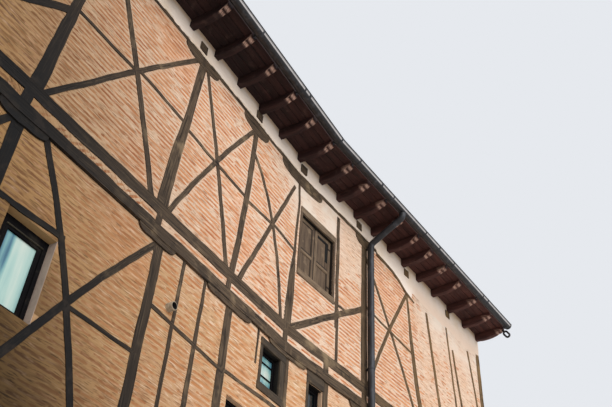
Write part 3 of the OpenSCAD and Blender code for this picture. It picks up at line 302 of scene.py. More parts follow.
def operation(name: str, flipped: bool = False) -> Callable[..., "Wire"]:
    """A Wire method that adds one Math node.

    Args:
        name: The node's operation.
        flipped: Whether the wire itself is the second value.

    Returns:
        The method.
    """
    def method(wire: "Wire", other: object = 0.0) -> "Wire":
        """Adds the node."""
        values = (other, wire) if flipped else (wire, other)
        return wire.sheet.add("ShaderNodeMath", {"operation": name}, dict(enumerate(values)))
    return method


@dataclass(frozen=True)
class Wire:
    """A shader socket whose arithmetic adds Math nodes."""

    sheet: "Sheet"
    socket: bpy.types.NodeSocket

    __add__ = __radd__ = operation("ADD")
    __mul__ = __rmul__ = operation("MULTIPLY")
    __sub__ = operation("SUBTRACT")
    __truediv__ = operation("DIVIDE")
    floor = operation("FLOOR")
    absolute = operation("ABSOLUTE")
    most = operation("MAXIMUM")

    def step(self, low: float, high: float) -> "Wire":
        """A smooth step from 0 at low to 1 at high."""
        values = {"Value": self, "From Min": low, "From Max": high}
        return self.sheet.add("ShaderNodeMapRange", {"interpolation_type": "SMOOTHSTEP"}, values)


class Sheet:
    """A node tree to which nodes are added by their values."""

    def __init__(self, owner: bpy.types.Material | bpy.types.World) -> None:
        """Starts an empty node tree.

        Args:
            owner: The material or world that it belongs to.
        """
        owner.use_nodes = True
        self.tree = owner.node_tree
        self.tree.nodes.clear()

    def add(self, kind: str, settings: dict[str, object] | None = None,
            values: dict[int | str, object] | None = None, output: int | str = 0) -> Wire | None:
        """Adds a node.

        Args:
            kind: The node's type.
            settings: Its settings, set before its sockets. "stops" fills a colour ramp.
            values: Values or wires for its sockets, by name or number.
            output: The name or number of the output that comes back.

        Returns:
            The wire of that output, or nothing from a node that has none.
        """
        node = self.tree.nodes.new(kind)
        for key, value in (settings or {}).items():
            if key == "stops":
                self.fill_ramp(node.color_ramp, value)
            else:
                setattr(node, key, value)
        for key, value in (values or {}).items():
            self.join(node.inputs[key], value)
        return Wire(self, node.outputs[output]) if node.outputs else None

    @staticmethod
    def fill_ramp(ramp: bpy.types.ColorRamp, stops: Sequence[tuple[float, str]]) -> None:
        """Sets a colour ramp's stops from places and hex codes.

        Args:
            ramp: The colour ramp.
            stops: The places and hex codes.
        """
        while len(ramp.elements) < len(stops):
            ramp.elements.new(1.0)
        for element, (place, code) in zip(ramp.elements, stops):
            element.position = place
            element.color = shade(code)

    def join(self, socket: bpy.types.NodeSocket, value: object) -> None:
        """Links a wire to a socket, or sets the socket's value.

        Args:
            socket: The socket.
            value: The wire or the value.
        """
        if isinstance(value, Wire):
            self.tree.links.new(value.socket, socket)
        else:
            socket.default_value = value


class Board(Sheet):
    """The node tree of one material, with its surface shader."""

    def __init__(self, name: str) -> None:
        """Starts a material with its surface shader and the piece's own coordinates.

        Args:
            name: The material's name.
        """
        self.material = bpy.data.materials.new(name)
        super().__init__(self.material)
        self.shader = self.tree.nodes.new("ShaderNodeBsdfPrincipled")
        self.add("ShaderNodeOutputMaterial", {}, {"Surface": Wire(self, self.shader.outputs[0])})
        self.place = self.add("ShaderNodeTexCoord", output="Object")
        self.x, self.y, self.z = self.parts(self.place)

    def finish(self, colour: object, rough: object, height: Wire | None = None, distance: float = 0.0,
               strength: float = 0.0, **values: object) -> bpy.types.Material:
        """Sets the surface shader's sockets.

        Args:
            colour: The base colour.
            rough: The roughness.
            height: The relief's height, between 0 and 1.
            distance: The relief's depth in metres.
            strength: The relief's strength.
            values: Other sockets, with underscores for spaces.

        Returns:
            The material.
        """
        values |= {"Base_Color": colour, "Roughness": rough}
        if height:
            sockets = {"Height": height, "Distance": distance, "Strength": strength}
            values["Normal"] = self.add("ShaderNodeBump", {}, sockets)
        for key, value in values.items():
            self.join(self.shader.inputs[key.replace("_", " ")], value)
        return self.material

    def uv(self, name: str) -> Wire:
        """A UV map of the piece, in metres."""
        return self.add("ShaderNodeUVMap", {"uv_map": name})

    def level(self, name: str) -> Wire:
        """A number that the piece stores at its points."""
        return self.add("ShaderNodeAttribute", {"attribute_name": name}, {}, "Fac")

    def parts(self, vector: Wire) -> tuple[Wire, ...]:
        """A vector's three numbers."""
        node = self.add("ShaderNodeSeparateXYZ", {}, {0: vector}).socket.node
        return tuple(Wire(self, output) for output in node.outputs)

    def vector(self, *numbers: object) -> Wire:
        """A vector from three numbers."""
        return self.add("ShaderNodeCombineXYZ", {}, dict(enumerate(numbers)))

    def cloud(self, vector: Wire, scale: float | Point, detail: float = 3.0, rough: float = 0.55) -> Wire:
        """Noise from 0 to 1, mostly near 0.5, with one scale or a scale for each axis.

        Args:
            vector: The place.
            scale: How many clouds there are to a metre, for all axes or for each.
            detail: How fine it goes.
            rough: How strong its fine parts are.

        Returns:
            The noise.
        """
        if not isinstance(scale, (int, float)):
            vector, scale = self.add("ShaderNodeMapping", {}, {"Vector": vector, "Scale": scale}), 1.0
        values = {"Vector": vector, "Scale": scale, "Detail": detail, "Roughness": rough}
        return self.add("ShaderNodeTexNoise", {}, values)

    def chance(self, vector: Wire) -> Wire:
        """An even random number for each whole place."""
        return self.add("ShaderNodeTexWhiteNoise", {"noise_dimensions": "3D"}, {"Vector": vector}, "Value")

    def ramp(self, factor: Wire, *stops: tuple[float, str]) -> Wire:
        """A colour ramp."""
        return self.add("ShaderNodeValToRGB", {"stops": stops}, {0: factor})

    def blend(self, first: object, second: object, factor: object, way: str = "MIX") -> Wire:
        """Mixes two colours, given as wires or hex codes.

        Args:
            first: The first colour.
            second: The second colour.
            factor: The share of the second.
            way: How they mix.

        Returns:
            The mix.
        """
        settings = {"data_type": "RGBA", "blend_type": way}
        first, second = (shade(c) if isinstance(c, str) else c for c in (first, second))
        return self.add("ShaderNodeMix", settings, {0: factor, 6: first, 7: second}, 2)

    def coats(self, base: object, *layers: tuple[object, object]) -> Wire:
        """Lays colours over a base, each with its cover from 0 to 1.

        Args:
            base: The colour below.
            layers: Each colour with its cover.

        Returns:
            The upper colour.
        """
        for colour, cover in layers:
            base = self.blend(base, colour, cover)
        return base

    @property
    def rear(self) -> Wire:
        """1 on the back half of the house."""
        return self.y.step(3.0, 4.0)


@dataclass(frozen=True)
class TimberFinish:
    """Old oak whose grain follows each timber, near black at the far left of the front from painted shade and
    paler along the house from painted light.
    """

    left: str = "0b0a0b"
    middle: str = "544537"
    right: str = "785d3c"

    def material(self) -> bpy.types.Material:
        """Builds the material.

        Returns:
            The material.
        """
        board = Board("old_oak")
        # Painted shade: west is 0 at the far left of the front, the more so low down, where the timbers stay
        # near black; east keeps their pale fibres and patches faint there.
        west = (board.x + (board.z - HOUSE.z_band) * 0.55).step(-4.9, -1.2)
        grain = board.uv("grain")
        fibres = board.cloud(grain, (2.2, 95, 1), 4)
        checks = board.cloud(grain, (1.1, 26, 1), 2)
        crack = checks.step(0.4, 0.33)
        east = west * 0.92 + 0.08
        colour = board.coats(
            self.left,
            (self.middle, west.most(board.rear)),
            # Painted light: the timbers turn paler towards the right wing.
            (self.right, board.x.step(0.6, 4.8)),
            ("a58e70", fibres.step(0.5, 0.74) * east * 0.45),
            ("17120f", fibres.step(0.5, 0.34) * 0.75),
            ("bba17e", board.cloud(board.place, 2.6, 3).step(0.56, 0.75) * east * 0.4),
            ("2b241f", board.cloud(board.place, 6.5, 4).step(0.54, 0.68) * 0.55),
            ("120e0c", crack * 0.75))
        height = fibres * 0.5 + checks * 0.8 - crack * 0.8
        return board.finish(colour, 0.86, height, 0.006, 0.7, Specular_IOR_Level=0.25)


@dataclass(frozen=True)
class BrickFinish:
    """Thin bricks behind lime that was smeared over their joints, darker and browner at the far left of the
    front and in its lower left corner from painted shade.
    """

    pitch: float = 0.066
    length: float = 0.27

    def material(self) -> bpy.types.Material:
        """Builds the material.

        Returns:
            The material.
        """
        board = Board("lime_and_brick")
        u, z, _ = board.parts(board.uv("wall"))
        wall = board.vector(u, z, 0.0)
        course = (z / self.pitch).floor()
        brick = (u / self.length + board.chance(board.vector(course, 3.0, 0.0))).floor()
        luck = board.chance(board.vector(brick, course, 1.0))
        # Painted shade: near is 0 at the far left of the front, the more so low down, where the clay and the
        # lime keep their darker, browner colours.
        near = (board.x + (board.z - HOUSE.z_band) * 0.45).step(-5.6, -0.5).most(board.rear)
        low = board.z.step(6.95, 6.3)
        clay = board.coats(
            board.ramp(luck, (0.0, "5c432d"), (0.4, "6d4f33"), (0.7, "7f5d3c"), (1.0, "634930")),
            (board.ramp(luck, (0.0, "b9714b"), (0.3, "cc8558"), (0.62, "d8986d"), (1.0, "c07e58")), near),
            ("dcb896", board.cloud(wall, (7, 34, 1), 3).step(0.45, 0.8) * 0.5),
            ("b98758", low * near * 0.55))
        bent = board.vector(u, z + (board.cloud(wall, 2.2, 2) - 0.5) * 0.09, 0.0)
        streak = board.cloud(bent, (3, 27, 1), 4)
        hair = board.cloud(bent, (6, 75, 1), 3)
        lime = board.coats(
            "96734a",
            (board.blend("e4c7af", "d2aa82", low), near),
            (board.blend("866541", "dfb391", near), board.cloud(wall, 1.3, 4, 0.6).step(0.45, 0.66) * 0.65),
            (board.blend("8f6a44", "e3a077", near), board.cloud(wall, 0.75, 3, 0.6).step(0.54, 0.68) * 0.45),
            (board.blend("5c4229", "c98f66", near), streak.step(0.48, 0.7) * 0.75),
            # Partly painted shade: dark hairlines that texture the lime and stand for thin shadow lines on
            # its rough face.
            (board.blend("2e2116", "8a5a3b", near), hair.step(0.53, 0.67) * 0.75),
            ("f6e6d4", hair.step(0.45, 0.32) * near * 0.65),
            ("8f6c4c", board.cloud(wall, 60, 2).step(0.58, 0.76) * 0.4))
        ragged = board.level("lime") + (board.cloud(wall, (22, 60, 1), 3) - 0.5) * 1.1
        # Painted shade: corner darkens the front's lower left corner by multiplying with grey.
        corner = (board.x + board.z * 0.9).step(1.9, -0.3) * board.z.step(6.3, 5.3) * board.y.step(4.0, 3.0)
        colour = board.blend(board.blend(clay, lime, ragged.step(0.4, 0.74)), "8b8c86", corner, "MULTIPLY")
        patch = board.cloud(wall, 2.6, 3).step(0.4, 0.6) * 0.5 + 0.4
        far_end = board.x.step(3.3, 4.6) * board.z.step(8.6, 9.7)
        window_top = (board.x - 0.5).absolute().step(1.0, 0.4) * board.z.step(8.9, 9.3)
        colour = board.blend(colour, "e9dacb", far_end.most(window_top) * board.y.step(1.0, 0.0) * patch)
        rough = board.cloud(wall, 42, 4) * 0.6 + streak * 0.6
        return board.finish(colour, 0.92, rough, 0.004, 0.6, Specular_IOR_Level=0.2)


@dataclass(frozen=True)
class PlasterFinish:
    """Lime plaster with stains."""

    name: str
    pale: str
    warm: str
    stain: str
    size: float = 1.6
    shaded: str = ""
    eastward: str = ""

    def material(self) -> bpy.types.Material:
        """Builds the material.

        Returns:
            The material.
        """
        board = Board(self.name)
        wide = board.cloud(board.place, self.size, 5, 0.6)
        fine = board.cloud(board.place, 38, 3)
        colour = board.coats(
            self.pale,
            (self.warm, wide.step(0.4, 0.66)),
            (self.stain, wide.step(0.6, 0.8) * 0.6),
            (self.stain, fine.step(0.56, 0.75) * 0.35))
        if self.shaded:
            colour = board.blend(self.shaded, colour, board.x.step(-5.2, 0.2).most(board.rear))
        if self.eastward:
            top = board.z.step(HOUSE.z_eave - 0.12, HOUSE.z_eave - 0.02)
            stained = ("c79a5e", top * (fine * 0.5 + 0.25))
            colour = board.coats(colour, stained, (self.eastward, board.level("fade")))
        relief = board.cloud(board.place, 9, 6, 0.6)
        return board.finish(colour, 0.94, relief, 0.012, 0.7, Specular_IOR_Level=0.2)


@dataclass(frozen=True)
class BoardFinish:
    """Sawn wood with its grain along one direction of a UV map."""

    name: str
    dark: str
    light: str
    worn: str
    wear: float = 0.3
    rough: float = 0.75
    gloss: float = 0.25
    eastward: tuple[str, str] | None = None

    def material(self) -> bpy.types.Material:
        """Builds the material.

        Returns:
            The material.
        """
        dark, light = self.dark, self.light
        board = Board(self.name)
        grain = board.uv("grain")
        fibres = board.cloud(grain, (3, 120, 1), 4)
        bands = board.cloud(grain, (0.7, 9, 1), 2)
        # With eastward set, the dark and light colours blend towards that pair further east.
        if self.eastward:
            east = board.x.step(-3.0, 5.0)
            dark, light = board.blend(dark, self.eastward[0], east), board.blend(light, self.eastward[1], east)
        colour = board.coats(
            dark,
            (light, (fibres * 0.6 + bands * 0.4).step(0.38, 0.62)),
            (self.worn, board.cloud(board.place, 7, 4).step(0.55, 0.72) * self.wear),
            # The wear attribute is real wear, except on the brackets' tips, where it paints highlights.
            (self.worn, board.level("wear") * fibres.step(0.3, 0.62)),
            # Painted shade: near black where shade_and_iron marks gaps, recesses and reveals; on the hinges
            # it is the dark of iron.
            ("0d0b0a", board.level("shade_and_iron")))
        return board.finish(colour, self.rough, fibres, 0.003, 0.6, Specular_IOR_Level=self.gloss)


@dataclass(frozen=True)
class ZincFinish:
    """Weathered sheet zinc with a dull shine."""

    base: str = "26262a"
    bloom: str = "4d5058"

    def material(self) -> bpy.types.Material:
        """Builds the material.

        Returns:
            The material.
        """
        board = Board("weathered_zinc")
        stretched = board.add("ShaderNodeMapping", {}, {"Vector": board.place, "Scale": (1, 1, 0.35)})
        cloud = board.cloud(stretched, 9, 5, 0.6)
        colour = board.coats(
            self.base,
            (self.bloom, cloud.step(0.48, 0.74) * 0.7),
            ("1c1a1b", board.cloud(board.place, 70, 3).step(0.6, 0.75) * 0.5),
            # Painted highlight: pale where the shine attribute marks the gutter's outer side.
            ("e6e0de", board.level("shine") * (cloud * 0.6 + 0.55)))
        return board.finish(colour, cloud * 0.28 + 0.34, cloud, 0.004, 0.35, Metallic=0.3)


@dataclass(frozen=True)
class TileFinish:
    """Fired clay tiles, each of its own shade."""

    def material(self) -> bpy.types.Material:
        """Builds the material.

        Returns:
            The material.
        """
        board = Board("clay_tile")
        clay = board.coats(
            board.ramp(board.level("luck"), (0.0, "a8613f"), (0.25, "bd7650"), (0.5, "c98a60"),
                       (0.75, "b06a48"),
                       (1.0, "8f5a42")),
            ("8b8168", board.cloud(board.place, 5, 5, 0.62).step(0.54, 0.7) * 0.6),
            ("d9b48d", board.cloud(board.place, 28, 3).step(0.55, 0.75) * 0.4))
        return board.finish(clay, 0.9, board.cloud(board.place, 55, 4), 0.003, 0.6)


@dataclass(frozen=True)
class GlassFinish:
    """Old window panes, from a dark room through painted reflections of the sky to a pale curtain close
    behind them.
    """

    def material(self) -> bpy.types.Material:
        """Builds the material.

        Returns:
            The material.
        """
        board = Board("old_pane")
        stretched = board.add("ShaderNodeMapping", {}, {"Vector": board.place, "Scale": (1, 1, 0.06)})
        fold = board.cloud(stretched, 11, 3)
        sheen = board.cloud(board.place, 2.2, 2)
        tone = board.level("tone")
        tone = tone + (fold - 0.5) * 0.5 * tone.step(0.2, 0.6) + (sheen - 0.5) * 0.16
        colour = board.ramp(tone, (0.0, "0a0c0e"), (0.25, "16262b"), (0.45, "3f6f86"), (0.6, "79a9ac"),
                            (0.78, "a9c9c2"), (0.95, "cfdad0"))
        waves = board.cloud(board.place, 3.5, 2)
        return board.finish(colour, 0.18, waves, 0.02, 0.3, Coat_Weight=0.4, Coat_Roughness=0.06)


@dataclass(frozen=True)
class PlainFinish:
    """A small part's even finish with a little mottling."""

    name: str
    base: str
    mottle: str
    rough: float = 0.7
    metal: float = 0.0

    def material(self) -> bpy.types.Material:
        """Builds the material.

        Returns:
            The material.
        """
        board = Board(self.name)
        cloud = board.cloud(board.place, 24, 4, 0.6)
        # Painted shade: near black where shade_and_iron marks the vent's bore.
        colour = board.coats(self.base, (self.mottle, cloud.step(0.42, 0.7)), ("070809", board.level("shade_and_iron")))
        return board.finish(colour, self.rough, cloud, 0.003, 0.5, Metallic=self.metal)


TIMBER = TimberFinish().material()
BRICK = BrickFinish().material()
BACKING = PlasterFinish("lime_bed", "e6c3a4", "d9ab84", "c08d66", shaded="9a7750").material()
CREAM = PlasterFinish("cream_plaster", "fcecdf", "f7e3cf", "dfbf98", 2.2, eastward="ebd2be").material()
REVEAL = PlasterFinish("reveal_plaster", "b3a093", "a08e83", "8a7769", 3.0).material()
# Partly painted shade: a darker, browner copy of the reveal plaster for the shaded underside of the bedroom
# window's lintel.
LINTEL = PlasterFinish("lintel_plaster", "b08f67", "a5855d", "8a6c48", 3.0).material()
RENDER = PlasterFinish("ground_render", "d8c3a2", "cdb592", "b59d79", 0.9).material()
# The eave wood's pale worn colour mostly serves as the painted highlights on the bracket tips.
EAVE_WOOD = BoardFinish("stained_eave", "1a1113", "35201f", "dcb7a6", 0.04,
                        eastward=("331f1f", "5a3732")).material()
SHUTTER_WOOD = BoardFinish("bare_shutter", "42342b", "6d5a48", "9a846b", 0.4).material()
FRAME_WOOD = BoardFinish("window_wood", "0a090b", "131113", "7a7363", 0.08, 0.85, 0.08).material()
SURROUND = BoardFinish("window_oak", "2d251e", "524537", "7d694e").material()
DOOR_WOOD = BoardFinish("door_planks", "3a2618", "5d402a", "8a6a4a", 0.2).material()
FLOOR_WOOD = BoardFinish("floor_boards", "7d6245", "a5845d", "c0a27a").material()
ZINC = ZincFinish().material()
TILE = TileFinish().material()
GLASS = GlassFinish().material()
PIPE_CLAY = PlainFinish("vent_clay", "b3a48e", "8b7b66", 0.85).material()
IRON = PlainFinish("wrought_iron", "121114", "2a2220", 0.6, 0.2).material()


# Making pieces

def finish_piece(name: str, bm: BMesh, material: bpy.types.Material, slot: str, *replaced: str,
                 crease: float = 35.0) -> None:
    """Makes a shown piece from a mesh in the frame's own metres.

    Args:
        name: The piece's name.
        bm: Its mesh, which is freed.
        material: Its finish.
        slot: Not used.
        replaced: The solids that it stands for.
        crease: The angle in degrees from which an edge stays sharp.
    """
    mesh = bpy.data.meshes.new(name)
    bm.to_mesh(mesh)
    bm.free()
    mesh.polygons.foreach_set("use_smooth", [True] * len(mesh.polygons))
    mesh.set_sharp_from_angle(angle=math.radians(crease))
    mesh.materials.append(material)
    made = bpy.data.objects.new(name, mesh)
    bpy.context.scene.collection.objects.link(made)
    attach(made, ROOT)
    if replaced:
        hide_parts(*replaced)
    LOG.info("%s: %d faces", name, len(mesh.polygons))


def dress(material: bpy.types.Material, *nodes: str) -> None:
    """Gives solids that stay shown their finish.

    Args:
        material: The finish.
        nodes: The solids' names.
    """
    for node in nodes:
        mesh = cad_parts[node].data
        mesh.materials.clear()
        mesh.materials.append(material)
        LOG.info("%s keeps its solid", node)


def merged(node: str) -> BMesh:
    """A copy of a solid's mesh with its loose triangles merged into whole faces.

    Args:
        node: The solid's name.

    Returns:
        The mesh.
    """
    bm = bmesh.new()
    bm.from_mesh(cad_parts[node].data)
    bmesh.ops.remove_doubles(bm, verts=bm.verts, dist=0.0003)
    bmesh.ops.dissolve_limit(bm, angle_limit=math.radians(0.6), verts=bm.verts, edges=bm.edges)
    return bm


def unique(items: Iterable[object]) -> list[object]:
    """Items without repeats, in their order."""
    return list(dict.fromkeys(items))


def edges_of(verts: Iterable[BMVert]) -> list[BMEdge]:
    """All the edges that meet at some points."""
    return unique(e for v in verts for e in v.link_edges)


def faces_of(verts: Iterable[BMVert]) -> list[BMFace]:
    """All the faces that meet at some points."""
    return unique(f for v in verts for f in v.link_faces)


def only(kind: type, geom: Iterable[object]) -> list[object]:
    """What a step of modelling made, of one kind."""
    return [g for g in geom if isinstance(g, kind)]


def cut(bm: BMesh, verts: Iterable[BMVert], point: Point, normal: Point, clear: bool = False) -> None:
    """Cuts what meets at some points along a plane.

    Args:
        bm: The mesh.
        verts: The points.
        point: A point of the plane.
        normal: The plane's normal.
        clear: Whether what lies on the normal's side goes.
    """
    geom = [*verts, *edges_of(verts), *faces_of(verts)]
    bmesh.ops.bisect_plane(bm, geom=geom, dist=1e-5, plane_co=point, plane_no=normal, clear_outer=clear)


def bevel(bm: BMesh, edges: list[BMEdge], size: float, clamped: bool = True) -> list[BMVert]:
    """Rounds edges in two steps and returns the new points."""
    return bmesh.ops.bevel(bm, geom=edges, offset=size, offset_type="OFFSET", affect="EDGES", segments=2,
                           profile=0.5, material=-1, clamp_overlap=clamped)["verts"]


def layer(bm: BMesh, name: str) -> bmesh.types.BMLayerItem:
    """The layer of numbers at a mesh's points that has a name."""
    return bm.verts.layers.float.get(name) or bm.verts.layers.float.new(name)


def lay_uv(bm: BMesh, name: str, faces: Iterable[BMFace], place: Callable[[Vector], Spot]) -> None:
    """Lays a UV map on faces, from each corner's point in the frame.

    Args:
        bm: The mesh.
        name: The map's name.
        faces: The faces.
        place: Gives the map's place of a point.
    """
    uv = bm.loops.layers.uv.get(name) or bm.loops.layers.uv.new(name)
    for face in faces:
        for loop in face.loops:
            loop[uv].uv = place(loop.vert.co)


def sweep(bm: BMesh, outline: Sequence[Spot], stations: Sequence[Matrix]) -> list[BMVert]:
    """Draws a closed outline along stations by extruding its edges, and fills both ends.

    Args:
        bm: The mesh that it goes into.
        outline: Points in each station's X and Y.
        stations: Matrices from the outline's plane to the frame.

    Returns:
        All the new points.
    """
    ring = [bm.verts.new(stations[0] @ Vector((x, y, 0))) for x, y in outline]
    edges = [bm.edges.new(pair) for pair in zip(ring, ring[1:] + ring[:1])]
    made = list(ring)
    bm.faces.new(list(reversed(ring)))
    for station in stations[1:]:
        fresh = set(only(BMVert, bmesh.ops.extrude_edge_only(bm, edges=edges)["geom"]))
        ring = [next(e.other_vert(v) for e in v.link_edges if e.other_vert(v) in fresh) for v in ring]
        for vert, (x, y) in zip(ring, outline):
            vert.co = station @ Vector((x, y, 0))
        made += ring
        edges = [bm.edges.get(pair) for pair in zip(ring, ring[1:] + ring[:1])]
    bm.faces.new(ring)
    return made


def in_plane(right: bool, u: float, y: float = 0.0, z: float = 0.0) -> Matrix:
    """A station across a wing, for an outline of depth and height."""
    return wing(right) @ Matrix.Translation((u, y, z)) @ UPRIGHT


def run_stations(u0: float, u1: float) -> list[Matrix]:
    """Stations of a run from the left wing to the right one, the middle one along the mitre.

    Args:
        u0: Its start along the wing.
        u1: Its end along the wing.

    Returns:
        The three stations.
    """
    slide = Matrix.Identity(4)
    slide[0][1] = HOUSE.mitre
    return [in_plane(False, u0), wing(False) @ slide @ UPRIGHT, in_plane(True, u1)]


def arc(centre: Spot, radius: float, start: float, end: float, count: int) -> list[Spot]:
    """Points along an arc, with its angles in degrees."""
    turns = [math.radians(mix(start, end, i / count)) for i in range(count + 1)]
    return [(centre[0] + radius * math.cos(t), centre[1] + radius * math.sin(t)) for t in turns]


def tangents(path: Sequence[Vector], closed: bool = False) -> list[Matrix]:
    """Stations along a line in the YZ plane, square to it.

    Args:
        path: The line's points.
        closed: Whether its end joins its start.

    Returns:
        A matrix for each point, with X kept.
    """
    last = len(path) - 1
    stations = []
    for i, spot in enumerate(path):
        before, after = (i - 1, (i + 1) % len(path)) if closed else (max(i - 1, 0), min(i + 1, last))
        way = (path[after] - path[before]).normalized()
        across = Vector((1, 0, 0))
        turn = Matrix((across, way.cross(across), way)).transposed().to_4x4()
        stations.append(Matrix.Translation(spot) @ turn)
    return stations


def lathe(bm: BMesh, profile: Sequence[Vector], centre: Vector, axis: Vector, closed: bool) -> None:
    """Spins a profile a whole turn about an axis.

    Args:
        bm: The mesh.
        profile: The profile's points.
        centre: A point of the axis.
        axis: The axis's direction.
        closed: Whether the profile is a ring.
    """
    verts = [bm.verts.new(point) for point in profile]
    edges = [bm.edges.new(pair) for pair in zip(verts, verts[1:] + verts[:1] if closed else verts[1:])]
    bmesh.ops.spin(bm, geom=verts + edges, cent=centre, axis=axis, angle=math.tau, steps=28, use_merge=True)


def box(bm: BMesh, matrix: Matrix, low: Point, high: Point) -> list[BMVert]:
    """Adds a box between two corners of a wall's or wing's coordinates.

    Args:
        bm: The mesh.
        matrix: From the wall's coordinates to the frame.
        low: Its lower corner.
        high: Its upper corner.

    Returns:
        Its points.
    """
    verts = bmesh.ops.create_cube(bm, size=1.0)["verts"]
    for vert in verts:
        vert.co = matrix @ Vector([mix(a, b, c + 0.5) for a, b, c in zip(low, high, vert.co)])
    return verts


def stick(bm: BMesh, matrix: Matrix, low: Point, high: Point, edge: float = 0.004, wear: float = 0.0,
          shade_and_iron: float = 0.0) -> None:
    """Adds a sawn piece with rounded edges and its grain along its longest side.

    Args:
        bm: The mesh that it goes into.
        matrix: From the piece's coordinates to the frame.
        low: Its lower corner.
        high: Its upper corner.
        edge: Size of its rounded edges.
        wear: How worn it is, from 0 to 1.
        shade_and_iron: How dark it is, from 0 to 1: painted shade in gaps, recesses and reveals, and the dark
            of iron on hinges.
    """
    worn, dark = layer(bm, "wear"), layer(bm, "shade_and_iron")
    if not bm.loops.layers.uv.get("grain"):
        bm.loops.layers.uv.new("grain")
    corners = box(bm, matrix, low, high)
    verts = bevel(bm, edges_of(corners), edge)
    sizes = [b - a for a, b in zip(low, high)]
    along = sizes.index(max(sizes))
    first, second = (axis for axis in range(3) if axis != along)
    inverse = matrix.inverted()

    def place(point: Vector) -> Spot:
        """The grain's place of a corner."""
        spot = inverse @ point
        return spot[along], spot[first] + spot[second] * 1.31

    lay_uv(bm, "grain", faces_of(verts), place)
    for vert in verts:
        vert[worn] = wear
        vert[dark] = shade_and_iron


def sticks(bm: BMesh, matrix: Matrix, *rows: tuple) -> None:
    """Adds sawn pieces, each from its u, y and z ranges, and then its edge, wear and darkness of painted
    shade and iron.
    """
    for (u0, u1), (y0, y1), (z0, z1), *looks in rows:
        stick(bm, matrix, (u0, y0, z0), (u1, y1, z1), *looks)


# Infill

COVER_NODES = ("left_lower_frame", "right_lower_frame", "floor_beam", "upper_sill", "left_posts",
               "left_braces", "right_posts", "right_braces", "bolsters", "wall_plate", "gable_frame",
               "back_frame", "back_post", "shutter_frame", "soffit")


def cover_tree() -> BVHTree:
    """A search tree of everything that lies over the infill.

    Returns:
        The tree.
    """
    points: list[Vector] = []
    faces: list[tuple[int, ...]] = []
    for node in COVER_NODES:
        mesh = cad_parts[node].data
        start = len(points)
        points += [v.co.copy() for v in mesh.vertices]
        faces += [tuple(start + i for i in p.vertices) for p in mesh.polygons]
    return BVHTree.FromPolygons(points, faces)


